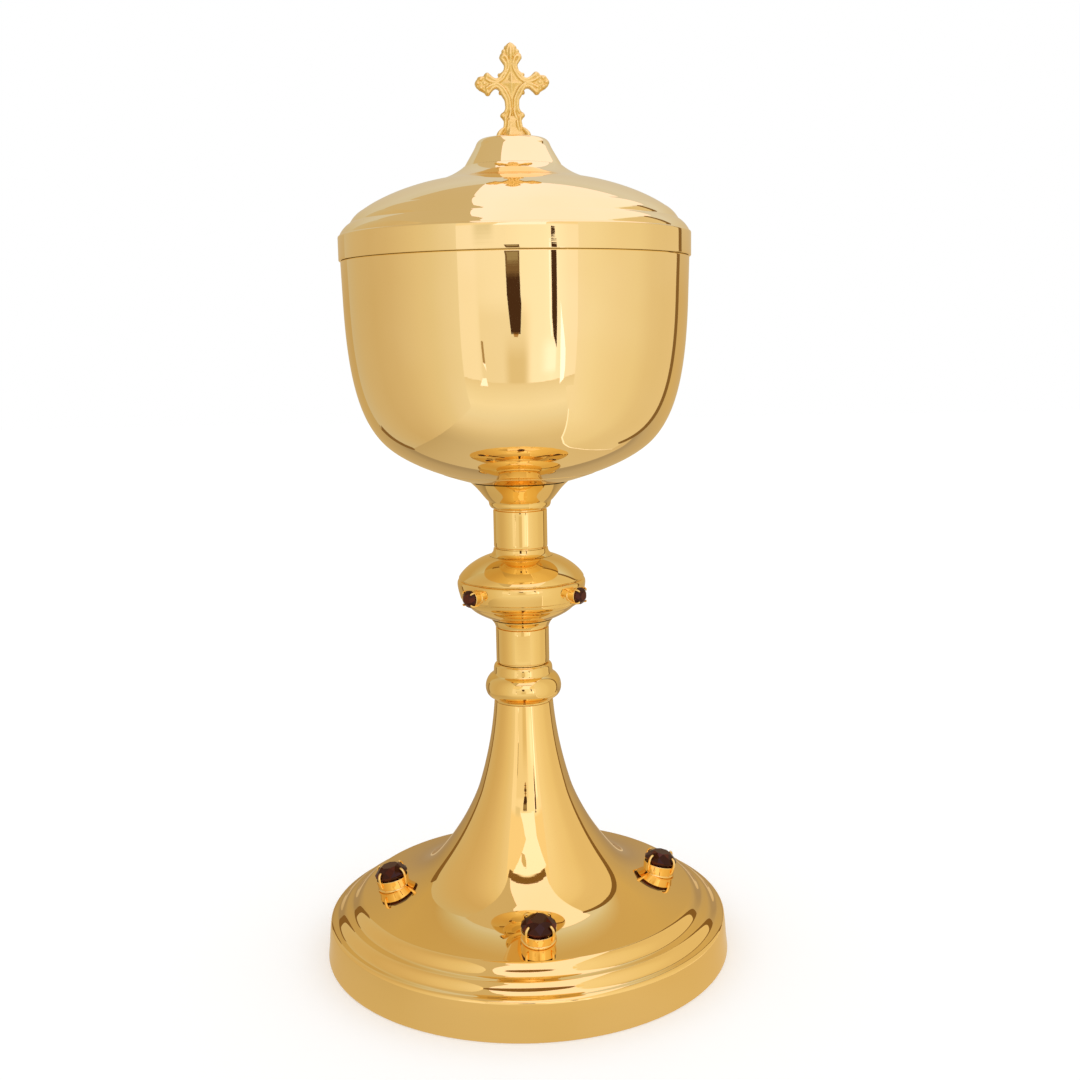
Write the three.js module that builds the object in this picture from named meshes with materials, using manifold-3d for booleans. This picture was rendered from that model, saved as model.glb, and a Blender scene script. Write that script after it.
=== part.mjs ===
// A ciborium: a covered cup on a tall knopped stem, spun and turned in gilt brass.
// The lid lifts off the cup. A cast cross stands on the lid, and claw-set garnets
// stand on the foot and round the knop. One tie rod clamps the whole stem together.
// Millimetres, +Z up, the origin at the centre of the foot's resting rim.

import * as THREE from 'three';
import { mergeVertices } from 'three/addons/utils/BufferGeometryUtils.js';
import { ConvexGeometry } from 'three/addons/geometries/ConvexGeometry.js';
import Module from 'manifold-3d';

const wasm = await Module();
wasm.setup();

// Walls, gaps and facet counts
const SHELL_WALL = 0.9;
const FOOT_WALL = 1.1;
const STEM_WALL = 1.0;
const SPIGOT_GAP = 0.15;
const SPIGOT_LENGTH = 3.0;
const SEAT_GAP = 0.3;
const SHELL_SIDES = 28;
const STEM_SIDES = 18;
const OUTER_STEPS = 4;
const INNER_STEPS = 3;

// Foot: a drawn wall, two rounded steps, a sloping shoulder and a trumpet flare
const FOOT_RADIUS = 74.8;
const FOOT_WALL_HEIGHT = 13.0;
const FOOT_WALL_DRAFT = 1.35;
const FOOT_EDGE_ROUND = 0.8;
const FOOT_LIP_WIDTH = 3.2;
const FOOT_STEP_WIDTH = 5.9;
const FOOT_STEP_RISE = 4.1;
const FOOT_STEP_BULGE = 0.9;
const FLARE_KNEE_RADIUS = 24.7;
const FLARE_KNEE_RISE = 23.8;
const FLARE_RISE = 49.4;
const FOOT_NECK_RADIUS = 10.75;

// Stem, from the foot up
const BEAD_RING_HEIGHT = 13.8;
const BEAD_RADIUS = 13.75;
const BEAD_ROOT_RADIUS = 11.6;
const BEAD_LENGTH = 8.2;
const BEAD_COVE = 1.3;
const BEAD_COLLAR_HEIGHT = 1.0;
const TUBE_RADIUS = 9.7;
const LOWER_TUBE_LENGTH = 13.8;
const UPPER_TUBE_LENGTH = 14.5;

// Knop: a dish, a band and a dome between two small rings
const KNOP_RING_HEIGHT = 2.5;
const KNOP_RING_RADIUS = 10.9;
const KNOP_HUB_RADIUS = 8.2;
const KNOP_HUB_LENGTH = 1.5;
const KNOP_RADIUS = 22.9;
const KNOP_DOME_HEIGHT = 9.4;
const KNOP_BAND_RADIUS = 22.6;
const KNOP_BAND_DRAFT = 0.7;
const KNOP_BAND_HEIGHT = 6.1;
const KNOP_DISH_HEIGHT = 8.2;
const KNOP_DISH_RADIUS = 19.2;
const KNOP_DISH_RISE = 5.4;

// Cup and the collar under it
const COLLAR_HEIGHT = 9.9;
const COLLAR_TOP_RADIUS = 17.1;
const COLLAR_RING_RADIUS = 11.2;
const COLLAR_RING_HEIGHT = 2.8;
const COLLAR_FLOOR = 1.0;
const BOSS_RADIUS = 7.4;
const CUP_RADIUS = 60.55;
const CUP_HEIGHT = 81.0;
const CUP_BARREL_HEIGHT = 12.4;
const CUP_BARREL_DRAFT = 0.35;
const CUP_KNEE_RADIUS = 47.5;
const CUP_KNEE_RISE = 18.6;
const CUP_BASIN_RADIUS = 17.0;
const CUP_BASIN_RISE = 3.6;
const CUP_LIP_HEIGHT = 6.6;
const CUP_LIP_STEP = 0.8;
const CUP_LIP_ROUND = 0.4;

// Lid
const LID_GAP = 0.2;
const LID_PROUD = 0.6;
const LID_SKIRT_HEIGHT = 8.2;
const LID_SKIRT_ROUND = 0.5;
const LID_STEP_WIDTH = 4.1;
const LID_STEP_RISE = 4.2;
const LID_STEP_BULGE = 0.35;
const LID_DOME_RISE = 9.7;
const LID_KNEE_RADIUS = 27.0;
const LID_FLARE_RISE = 4.9;
const LID_FLARE_RADIUS = 17.25;
const NECK_FOOT_RADIUS = 16.95;
const NECK_TOP_RADIUS = 12.8;
const NECK_HEIGHT = 9.5;
const NECK_ROUND = 2.4;

// Finial cross: heights from its own foot, and the outline's points from the crossing's centre
const CROSS_CENTRE_HEIGHT = 17.9;
const CROSS_TOP_HEIGHT = 32.2;
const CROSS_HALF_SPAN = 12.9;
const CROSS_DEPTH = 4.4;
const CROSS_BEVEL = 0.7;
const CROSS_SHAFT = 2.6;
const CROSS_ARM_ROOT = 10.6;
const CROSS_TIP_REACH = 8.3;
const CROSS_TIP_RISE = 3.8;
const CROSS_THROAT = 0.9;
const CROSS_CUSP = 4.0;
const CROSS_NECK = 2.4;
const CROSS_NECK_RISE = 5.8;
const CROSS_LEAF_HALF = 3.9;
const CROSS_LEAF_RISE = 7.9;
const CROSS_LEAF = 1.5;
const CROSS_STAR = 4.6;
const CROSS_STAR_RAISE = 0.7;
const CROSS_FOOT_WIDTH = 11.0;
const CROSS_FOOT_DEPTH = 8.4;
const CROSS_PEDESTAL_HEIGHT = 6.4;
const STUD_RADIUS = 2.0;
const STUD_LENGTH = 7.0;
const STUD_CLEARANCE = 0.2;

// Hardware inside
const ROD_RADIUS = 3.0;
const ROD_CLEARANCE = 0.2;
const ROD_TAIL = 5.0;
const CLAMP_HEIGHT = 64.0;
const CLAMP_THICKNESS = 3.0;
const ROD_WASHER_RADIUS = 5.6;
const ROD_NUT_FLATS = 10.0;
const ROD_NUT_HEIGHT = 5.0;
const STUD_NUT_FLATS = 7.0;
const STUD_NUT_HEIGHT = 3.2;
const STUD_WASHER_RADIUS = 5.0;
const WASHER_THICKNESS = 1.2;

// Garnets in claw settings: sizes of one, with the collet's radius at its foot, how far in from the
// shoulder it stands, and its turn round the axis
const FOOT_STONE = { radius: 6.0, foot: 5.7, collet: 4.0, girdle: 5.4, claw: 1.3, sides: 10 };
const FOOT_STONE_INSET = 11.2;
const FOOT_STONE_TURN = 4;
const KNOP_STONE = { radius: 3.0, foot: 2.1, collet: 4.1, girdle: 4.8, claw: 0.8, sides: 8 };
const KNOP_STONE_TURN = 49;
const STONE_COUNT = 4;
const STONE_GAP = 0.15;
const COLLET_WALL = 0.7;
const COLLET_BEAD = 0.35;
const CLAW_COUNT = 4;
const TABLE_SHARE = 0.5;
const CROWN_SHARE = 0.46;
const PAVILION_SHARE = 0.55;

// Levels that follow from the sizes above
const shoulderRadius = FOOT_RADIUS - FOOT_WALL_DRAFT - 2 * FOOT_STEP_WIDTH;
const shoulderHeight = FOOT_WALL_HEIGHT + 2 * FOOT_STEP_RISE;
const footStoneReach = shoulderRadius - FOOT_STONE_INSET;
const beadBottom = shoulderHeight + FLARE_KNEE_RISE + FLARE_RISE;
const lowerTubeBottom = beadBottom + BEAD_RING_HEIGHT;
const lowerRingBottom = lowerTubeBottom + LOWER_TUBE_LENGTH;
const dishBottom = lowerRingBottom + KNOP_RING_HEIGHT;
const bandBottom = dishBottom + KNOP_DISH_HEIGHT;
const domeBottom = bandBottom + KNOP_BAND_HEIGHT;
const upperRingBottom = domeBottom + KNOP_DOME_HEIGHT;
const upperTubeBottom = upperRingBottom + KNOP_RING_HEIGHT;
const collarBottom = upperTubeBottom + UPPER_TUBE_LENGTH;
const collarTop = collarBottom + COLLAR_HEIGHT;
const cupBottom = collarTop - heightAt(cupOutline(0, OUTER_STEPS), COLLAR_TOP_RADIUS);
const cupShoulder = cupBottom + CUP_HEIGHT;
const lidBottom = cupShoulder + LID_GAP;
const lidDomeBottom = lidBottom + LID_SKIRT_HEIGHT + 2 * LID_STEP_RISE;
const neckBottom = lidDomeBottom + LID_DOME_RISE + LID_FLARE_RISE;
const neckTop = neckBottom + NECK_HEIGHT;
const tubeBore = TUBE_RADIUS - STEM_WALL;
const tubeSpigot = tubeBore - SPIGOT_GAP;
const rodBore = ROD_RADIUS + ROD_CLEARANCE;

const gilt = new THREE.MeshStandardMaterial({ color: 0xe6a940, roughness: 0.08, metalness: 1 });
const castGilt = new THREE.MeshStandardMaterial({ color: 0xe8b458, roughness: 0.35, metalness: 1 });
const garnet = new THREE.MeshStandardMaterial({ color: 0x4a0a0c, roughness: 0.05, metalness: 0 });
const steel = new THREE.MeshStandardMaterial({ color: 0xb8b8b6, roughness: 0.35, metalness: 1 });

function addPart(parent, name, geometry, material) {
	const mesh = new THREE.Mesh(geometry, material.clone());
	mesh.name = name;
	parent.add(mesh);
	return mesh;
}

// Profiles are lists of radius and height, climbing on the outer side of the solid.

function at(radius, height) {
	return new THREE.Vector2(radius, height);
}

function revolve(points, sides) {
	return new THREE.LatheGeometry(points, sides).rotateX(Math.PI / 2);
}

function revolveRing(points, sides) {
	return revolve([...points, points[0].clone()], sides);
}

function heading(degrees) {
	return new THREE.Vector2(1, 0).rotateAround(new THREE.Vector2(), THREE.MathUtils.degToRad(degrees));
}

// A smooth stretch that leaves and arrives on two headings: 0 outwards, 90 up, 180 inwards.
// Each pull says how far it holds its heading, as a share of the straight distance.
function flowTo(path, startHeading, startPull, end, endHeading, endPull) {
	const start = path.currentPoint.clone();
	const span = start.distanceTo(end);
	const first = start.clone().addScaledVector(heading(startHeading), startPull * span);
	const second = end.clone().addScaledVector(heading(endHeading), -endPull * span);
	path.bezierCurveTo(first.x, first.y, second.x, second.y, end.x, end.y);
}

// A rounded step, in two facets, that swells outwards from the straight line by the bulge.
function bulgeTo(path, end, bulge) {
	const start = path.currentPoint.clone();
	const along = end.clone().sub(start).normalize();
	const middle = start.clone().add(end).multiplyScalar(0.5);
	path.lineTo(middle.x + bulge * along.y, middle.y - bulge * along.x);
	path.lineTo(end.x, end.y);
}

// The same profile moved into the solid by a wall, square to itself.
function insetProfile(points, wall) {
	return points.map((p, i) => {
		const before = points[Math.max(i - 1, 0)];
		const after = points[Math.min(i + 1, points.length - 1)];
		const along = after.clone().sub(before).normalize();
		return at(Math.max(p.x - wall * along.y, 0), p.y + wall * along.x);
	});
}

// Height of a profile at a radius, and its radius at a height, on its last stretch that crosses.
function heightAt(points, radius) {
	for (let i = points.length - 1; i > 0; i--) {
		const [a, b] = [points[i - 1], points[i]];
		if ((a.x - radius) * (b.x - radius) <= 0 && a.x !== b.x) {
			return a.y + (b.y - a.y) * (radius - a.x) / (b.x - a.x);
		}
	}
	return points[0].y;
}

function radiusAt(points, height) {
	return heightAt(points.map((p) => at(p.y, p.x)), height);
}

function toSolid(geometry) {
	const bare = geometry.clone();
	bare.deleteAttribute('normal');
	bare.deleteAttribute('uv');
	const merged = mergeVertices(bare, 1e-4);
	return new wasm.Manifold(new wasm.Mesh({
		numProp: 3,
		vertProperties: new Float32Array(merged.attributes.position.array),
		triVerts: new Uint32Array(merged.index.array),
	}));
}

function toGeometry(solid) {
	const mesh = solid.getMesh();
	const geometry = new THREE.BufferGeometry();
	geometry.setAttribute('position', new THREE.BufferAttribute(mesh.vertProperties, 3));
	geometry.setIndex(new THREE.BufferAttribute(mesh.triVerts, 1));
	return geometry;
}

function joined(geometries) {
	return geometries.map(toSolid).reduce((sum, solid) => sum.add(solid));
}

// Foot

function footOutline(steps) {
	const path = new THREE.Path();
	const wallTop = FOOT_RADIUS - FOOT_WALL_DRAFT;
	const knee = at(FLARE_KNEE_RADIUS, shoulderHeight + FLARE_KNEE_RISE);
	path.moveTo(FOOT_RADIUS, FOOT_EDGE_ROUND);
	path.lineTo(wallTop, FOOT_WALL_HEIGHT);
	bulgeTo(path, at(wallTop - FOOT_STEP_WIDTH, FOOT_WALL_HEIGHT + FOOT_STEP_RISE), FOOT_STEP_BULGE);
	bulgeTo(path, at(shoulderRadius, shoulderHeight), FOOT_STEP_BULGE);
	flowTo(path, 171, 0.69, knee, 127, 0.4);
	flowTo(path, 127, 0.1, at(FOOT_NECK_RADIUS, beadBottom), 94, 0.55);
	return path.getPoints(steps);
}

function footShell() {
	const inside = insetProfile(footOutline(INNER_STEPS), FOOT_WALL);
	const neck = inside[inside.length - 1];
	neck.set(FOOT_NECK_RADIUS - FOOT_WALL, beadBottom);
	inside[0].y = FOOT_WALL;
	const lipRadius = FOOT_RADIUS - FOOT_EDGE_ROUND - FOOT_LIP_WIDTH;
	return revolveRing([
		at(lipRadius, 0),
		at(FOOT_RADIUS - FOOT_EDGE_ROUND, 0),
		...footOutline(OUTER_STEPS),
		...inside.reverse(),
		at(lipRadius, FOOT_WALL),
	], SHELL_SIDES);
}

// Stem

function beadRing() {
	const path = new THREE.Path();
	const rootBottom = beadBottom + BEAD_COVE;
	const rootTop = rootBottom + BEAD_LENGTH;
	const collar = rootTop + BEAD_COVE;
	const top = lowerTubeBottom;
	const reach = BEAD_ROOT_RADIUS + (BEAD_RADIUS - BEAD_ROOT_RADIUS) / 0.75;
	const neckSpigot = FOOT_NECK_RADIUS - FOOT_WALL - SPIGOT_GAP;
	path.moveTo(rodBore, beadBottom - SPIGOT_LENGTH);
	path.lineTo(neckSpigot, beadBottom - SPIGOT_LENGTH);
	path.lineTo(neckSpigot, beadBottom);
	path.lineTo(FOOT_NECK_RADIUS, beadBottom);
	path.quadraticCurveTo(FOOT_NECK_RADIUS, rootBottom, BEAD_ROOT_RADIUS, rootBottom);
	path.bezierCurveTo(reach, rootBottom + BEAD_COVE, reach, rootTop - BEAD_COVE, BEAD_ROOT_RADIUS, rootTop);
	path.quadraticCurveTo(FOOT_NECK_RADIUS, rootTop, FOOT_NECK_RADIUS, collar);
	path.lineTo(FOOT_NECK_RADIUS, collar + BEAD_COLLAR_HEIGHT);
	path.quadraticCurveTo(FOOT_NECK_RADIUS, top, TUBE_RADIUS, top);
	path.lineTo(tubeSpigot, top);
	path.lineTo(tubeSpigot, top + SPIGOT_LENGTH);
	path.lineTo(rodBore, top + SPIGOT_LENGTH);
	return revolveRing(path.getPoints(INNER_STEPS), STEM_SIDES);
}

function stemTube(bottom, length) {
	return revolveRing([
		at(tubeBore, bottom),
		at(TUBE_RADIUS, bottom),
		at(TUBE_RADIUS, bottom + length),
		at(tubeBore, bottom + length),
	], STEM_SIDES);
}

// Knop

// A ring with a spigot down into a stem tube and a hub up into the knop.
function knopRing() {
	const path = new THREE.Path();
	path.moveTo(rodBore, -SPIGOT_LENGTH);
	path.lineTo(tubeSpigot, -SPIGOT_LENGTH);
	path.lineTo(tubeSpigot, 0);
	path.lineTo(TUBE_RADIUS, 0);
	path.quadraticCurveTo(TUBE_RADIUS, KNOP_RING_HEIGHT / 2, KNOP_RING_RADIUS, KNOP_RING_HEIGHT);
	path.lineTo(KNOP_HUB_RADIUS, KNOP_RING_HEIGHT);
	path.lineTo(KNOP_HUB_RADIUS, KNOP_RING_HEIGHT + KNOP_HUB_LENGTH);
	path.lineTo(rodBore, KNOP_RING_HEIGHT + KNOP_HUB_LENGTH);
	return revolveRing(path.getPoints(INNER_STEPS), STEM_SIDES);
}

function dishOutline(steps) {
	const path = new THREE.Path();
	const edge = at(KNOP_BAND_RADIUS - KNOP_BAND_DRAFT, bandBottom);
	path.moveTo(KNOP_RING_RADIUS, dishBottom);
	flowTo(path, 40, 0.3, at(KNOP_DISH_RADIUS, dishBottom + KNOP_DISH_RISE), 58, 0.25);
	path.quadraticCurveTo(edge.x - 0.3, edge.y - 2.2, edge.x, edge.y);
	return path.getPoints(steps);
}

function knopDish() {
	const hole = KNOP_HUB_RADIUS + SPIGOT_GAP;
	const inside = insetProfile(dishOutline(INNER_STEPS), STEM_WALL);
	inside[inside.length - 1].y = bandBottom;
	inside[0].y = dishBottom + STEM_WALL;
	return revolveRing([
		at(hole, dishBottom),
		...dishOutline(INNER_STEPS),
		...inside.reverse(),
		at(hole, dishBottom + STEM_WALL),
	], SHELL_SIDES);
}

function knopBand() {
	const bottom = KNOP_BAND_RADIUS - KNOP_BAND_DRAFT;
	return revolveRing([
		at(bottom - STEM_WALL, bandBottom),
		at(bottom, bandBottom),
		at(KNOP_BAND_RADIUS, domeBottom),
		at(KNOP_BAND_RADIUS - STEM_WALL, domeBottom),
	], SHELL_SIDES);
}

function domeOutline(steps) {
	const path = new THREE.Path();
	path.moveTo(KNOP_RADIUS, domeBottom);
	flowTo(path, 104, 0.25, at(KNOP_RING_RADIUS, upperRingBottom), 158, 0.34);
	return path.getPoints(steps);
}

function knopDome() {
	const hole = KNOP_HUB_RADIUS + SPIGOT_GAP;
	const inside = insetProfile(domeOutline(INNER_STEPS), STEM_WALL);
	inside[0].y = domeBottom;
	inside[inside.length - 1].y = upperRingBottom - STEM_WALL;
	return revolveRing([
		...domeOutline(OUTER_STEPS),
		at(hole, upperRingBottom),
		at(hole, upperRingBottom - STEM_WALL),
		...inside.reverse(),
	], SHELL_SIDES);
}

// Cup

function cupOutline(bottom, steps) {
	const path = new THREE.Path();
	const basin = at(CUP_BASIN_RADIUS, bottom + CUP_BASIN_RISE);
	const knee = at(CUP_KNEE_RADIUS, bottom + CUP_KNEE_RISE);
	const barrel = at(CUP_RADIUS - CUP_BARREL_DRAFT, bottom + CUP_HEIGHT - CUP_BARREL_HEIGHT);
	path.moveTo(0, bottom);
	flowTo(path, 0, 0.4, basin, 19, 0.3);
	flowTo(path, 19, 0.35, knee, 45, 0.265);
	flowTo(path, 45, 0.233, barrel, 88.6, 0.523);
	path.lineTo(CUP_RADIUS, bottom + CUP_HEIGHT);
	return path.getPoints(steps);
}

function cupBowl() {
	const lipRadius = CUP_RADIUS - CUP_LIP_STEP;
	const lipTop = cupShoulder + CUP_LIP_HEIGHT;
	const inside = insetProfile(cupOutline(cupBottom, INNER_STEPS), SHELL_WALL);
	inside[0].x = 0;
	inside.pop();
	return revolve([
		...cupOutline(cupBottom, OUTER_STEPS),
		at(lipRadius, cupShoulder),
		at(lipRadius, lipTop - CUP_LIP_ROUND),
		at(lipRadius - CUP_LIP_ROUND, lipTop),
		at(lipRadius - SHELL_WALL, lipTop),
		at(lipRadius - SHELL_WALL, cupShoulder - CUP_LIP_STEP),
		...inside.reverse(),
	], SHELL_SIDES);
}

function collar() {
	const path = new THREE.Path();
	const ringTop = collarBottom + COLLAR_RING_HEIGHT;
	const floor = collarBottom + COLLAR_FLOOR;
	const inner = COLLAR_TOP_RADIUS - STEM_WALL;
	const innerTop = cupBottom + heightAt(cupOutline(0, OUTER_STEPS), inner) - SPIGOT_GAP;
	const pocket = BOSS_RADIUS + SEAT_GAP;
	path.moveTo(rodBore, collarBottom - SPIGOT_LENGTH);
	path.lineTo(tubeSpigot, collarBottom - SPIGOT_LENGTH);
	path.lineTo(tubeSpigot, collarBottom);
	path.lineTo(TUBE_RADIUS, collarBottom);
	path.quadraticCurveTo(COLLAR_RING_RADIUS, collarBottom, COLLAR_RING_RADIUS, ringTop);
	flowTo(path, 62, 0.3, at(COLLAR_TOP_RADIUS, collarTop - SPIGOT_GAP), 42, 0.2);
	path.lineTo(inner, innerTop);
	path.lineTo(pocket + STEM_WALL, ringTop + STEM_WALL);
	path.lineTo(pocket, floor);
	path.lineTo(rodBore, floor);
	return revolveRing(path.getPoints(INNER_STEPS + 1), STEM_SIDES);
}

// The boss is brazed under the bowl and takes the end of the tie rod.
function cupBoss() {
	const bowl = cupOutline(cupBottom, OUTER_STEPS);
	const floor = collarBottom + COLLAR_FLOOR;
	const middle = (rodBore + BOSS_RADIUS) / 2;
	return revolveRing([
		at(rodBore, floor),
		at(BOSS_RADIUS, floor),
		...[BOSS_RADIUS, middle, rodBore].map((r) => at(r, heightAt(bowl, r) - SPIGOT_GAP)),
	], STEM_SIDES);
}

// Lid

function lidOutline(steps) {
	const path = new THREE.Path();
	const radius = CUP_RADIUS + LID_PROUD;
	const skirtTop = lidBottom + LID_SKIRT_HEIGHT;
	const crease = radius - LID_SKIRT_ROUND;
	path.moveTo(radius, lidBottom);
	path.lineTo(radius, skirtTop - LID_SKIRT_ROUND);
	path.lineTo(crease, skirtTop);
	bulgeTo(path, at(crease - LID_STEP_WIDTH, skirtTop + LID_STEP_RISE), LID_STEP_BULGE);
	bulgeTo(path, at(crease - 2 * LID_STEP_WIDTH, lidDomeBottom), LID_STEP_BULGE);
	flowTo(path, 146, 0.27, at(LID_KNEE_RADIUS, lidDomeBottom + LID_DOME_RISE), 170, 0.357);
	flowTo(path, 168, 0.33, at(LID_FLARE_RADIUS, neckBottom), 138, 0.29);
	return path.getPoints(steps);
}

function lidShell() {
	const inside = insetProfile(lidOutline(INNER_STEPS), SHELL_WALL);
	inside[0].y = lidBottom;
	inside[inside.length - 1].set(LID_FLARE_RADIUS - SHELL_WALL, neckBottom);
	return revolveRing([...lidOutline(OUTER_STEPS), ...inside.reverse()], SHELL_SIDES);
}

function neckOutline(steps) {
	const path = new THREE.Path();
	path.moveTo(NECK_FOOT_RADIUS, neckBottom);
	flowTo(path, 120, 0.33, at(NECK_TOP_RADIUS, neckTop - NECK_ROUND), 112, 0.33);
	path.quadraticCurveTo(NECK_TOP_RADIUS - 0.4, neckTop, NECK_TOP_RADIUS - NECK_ROUND, neckTop);
	return path.getPoints(steps);
}

function lidNeck() {
	const hole = STUD_RADIUS + STUD_CLEARANCE;
	const inside = insetProfile(neckOutline(INNER_STEPS - 1), SHELL_WALL);
	inside[0].y = neckBottom;
	return revolveRing([
		...neckOutline(INNER_STEPS),
		at(hole, neckTop),
		at(hole, neckTop - SHELL_WALL),
		...inside.reverse(),
	], STEM_SIDES);
}

// Finial cross, modelled upright in X and Z, its foot at height 0

// One quarter of the outline, from the right arm's root to the upright's neck above it:
// a leaf tip, a scallop round the throat, a cusp, and a second scallop up to the neck.
function crossQuarter() {
	const path = new THREE.Path();
	const throat = CROSS_THROAT;
	path.moveTo(CROSS_ARM_ROOT, 0);
	path.quadraticCurveTo(CROSS_ARM_ROOT, CROSS_TIP_RISE, CROSS_TIP_REACH, CROSS_TIP_RISE);
	path.bezierCurveTo(CROSS_TIP_REACH - 1, throat, CROSS_CUSP + 1.6, throat, CROSS_CUSP, CROSS_CUSP - 0.7);
	path.quadraticCurveTo(CROSS_NECK, CROSS_CUSP, CROSS_NECK, CROSS_NECK_RISE);
	return path.getPoints(3);
}

// The top leaf, from the neck out to its widest point and up to the apex.
function crossTopLeaf() {
	const path = new THREE.Path();
	const apex = CROSS_TOP_HEIGHT - CROSS_CENTRE_HEIGHT;
	const shoulder = (apex + CROSS_LEAF_RISE) / 2 + 0.4;
	path.moveTo(CROSS_NECK, CROSS_NECK_RISE);
	path.quadraticCurveTo(CROSS_NECK, CROSS_LEAF_RISE - 1.2, CROSS_LEAF_HALF, CROSS_LEAF_RISE);
	path.quadraticCurveTo(CROSS_LEAF_HALF - 0.3, shoulder - 1.2, CROSS_LEAF_HALF * 0.62, shoulder);
	path.quadraticCurveTo(CROSS_LEAF_HALF * 0.5, apex - 0.8, 0, apex);
	return path.getPoints(3).slice(1);
}

function crossShape() {
	const quarter = crossQuarter();
	const upper = [...quarter, ...crossTopLeaf()];
	const lower = quarter.slice(1).map((p) => at(p.x, -p.y)).reverse();
	lower[0].x = CROSS_SHAFT;
	const right = [at(CROSS_SHAFT, -CROSS_CENTRE_HEIGHT + 1), ...lower, ...upper];
	const left = right.filter((p) => p.x > 0.01).map((p) => at(-p.x, p.y)).reverse();
	return new THREE.Shape([...right, ...left].map((p) => at(p.x, p.y + CROSS_CENTRE_HEIGHT)));
}

// Extrudes a shape drawn in X and Z through a depth along Y, centred on Y 0.
function extrudeUpright(shape, depth, bevel, curveSegments) {
	const geometry = new THREE.ExtrudeGeometry(shape, {
		depth: depth - 2 * bevel,
		bevelEnabled: bevel > 0,
		bevelThickness: bevel,
		bevelSize: bevel,
		bevelOffset: -bevel,
		bevelSegments: 1,
		curveSegments,
	});
	return geometry.translate(0, 0, bevel - depth / 2).rotateX(Math.PI / 2);
}

// A swelling leaf: an egg whose long half lies along the turn, 0 to the right and 90 up.
function leaf(x, z, half, turn) {
	return new THREE.IcosahedronGeometry(1, 1)
		.scale(half.x, half.y, half.z)
		.rotateY(THREE.MathUtils.degToRad(-turn))
		.translate(x, 0, z);
}

// Three leaves close an arm, two curling back over its tips and one along the arm.
function armLeaves(side) {
	const curl = new THREE.Vector3(CROSS_LEAF * 1.25, CROSS_DEPTH * 0.6, CROSS_LEAF);
	const end = new THREE.Vector3(CROSS_LEAF * 1.5, CROSS_DEPTH * 0.66, CROSS_LEAF * 1.45);
	const reach = CROSS_TIP_REACH + 0.7;
	const rise = CROSS_TIP_RISE - CROSS_LEAF * 0.85;
	const turn = side > 0 ? 0 : 180;
	return [
		leaf(side * reach, CROSS_CENTRE_HEIGHT + rise, curl, turn + side * 70),
		leaf(side * reach, CROSS_CENTRE_HEIGHT - rise, curl, turn - side * 70),
		leaf(side * (CROSS_HALF_SPAN - end.x), CROSS_CENTRE_HEIGHT, end, turn),
	];
}

// Two scrolls at the foot of the top leaf, and its own swelling middle.
function topLeaves() {
	const scroll = new THREE.Vector3(CROSS_LEAF * 0.95, CROSS_DEPTH * 0.58, CROSS_LEAF * 0.85);
	const middle = new THREE.Vector3(CROSS_LEAF * 2.4, CROSS_DEPTH * 0.62, CROSS_LEAF * 1.2);
	const x = CROSS_LEAF_HALF - scroll.x * 0.9;
	const z = CROSS_CENTRE_HEIGHT + CROSS_LEAF_RISE;
	return [
		leaf(x, z, scroll, 60),
		leaf(-x, z, scroll, 120),
		leaf(0, CROSS_TOP_HEIGHT - middle.x - 0.5, middle, 90),
	];
}

// The star fills the crossing, front and back, between the four scallops.
function crossStar() {
	const half = CROSS_DEPTH / 2;
	const points = [];
	for (let i = 0; i < 8; i++) {
		points.push(heading(45 * i).multiplyScalar(i % 2 ? CROSS_STAR * 0.36 : CROSS_STAR));
	}
	const raised = (side) => {
		const apex = new THREE.Vector3(0, side * (half + CROSS_STAR_RAISE), CROSS_CENTRE_HEIGHT);
		const root = new THREE.Vector3(0, side * (half - 1), CROSS_CENTRE_HEIGHT);
		const rim = points.map((p) => new THREE.Vector3(p.x, side * (half - 0.1), CROSS_CENTRE_HEIGHT + p.y));
		return rim.map((p, i) => new ConvexGeometry([apex, root, p, rim[(i + 1) % rim.length]]));
	};
	return [...raised(-1), ...raised(1)];
}

// The pedestal narrows upwards in a hollow curve, seen from the front and from the side.
function crossPedestal() {
	const outline = (width) => {
		const shape = new THREE.Shape();
		const foot = width / 2;
		const top = CROSS_SHAFT + 0.5;
		shape.moveTo(-foot, 0);
		shape.lineTo(foot, 0);
		shape.quadraticCurveTo(top + 0.6, CROSS_PEDESTAL_HEIGHT * 0.3, top, CROSS_PEDESTAL_HEIGHT);
		shape.lineTo(-top, CROSS_PEDESTAL_HEIGHT);
		shape.quadraticCurveTo(-top - 0.6, CROSS_PEDESTAL_HEIGHT * 0.3, -foot, 0);
		return shape;
	};
	const front = extrudeUpright(outline(CROSS_FOOT_WIDTH), 2 * CROSS_FOOT_DEPTH, 0, 4);
	const flank = extrudeUpright(outline(CROSS_FOOT_DEPTH), 2 * CROSS_FOOT_WIDTH, 0, 4);
	return toSolid(front).intersect(toSolid(flank.rotateZ(Math.PI / 2)));
}

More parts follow.
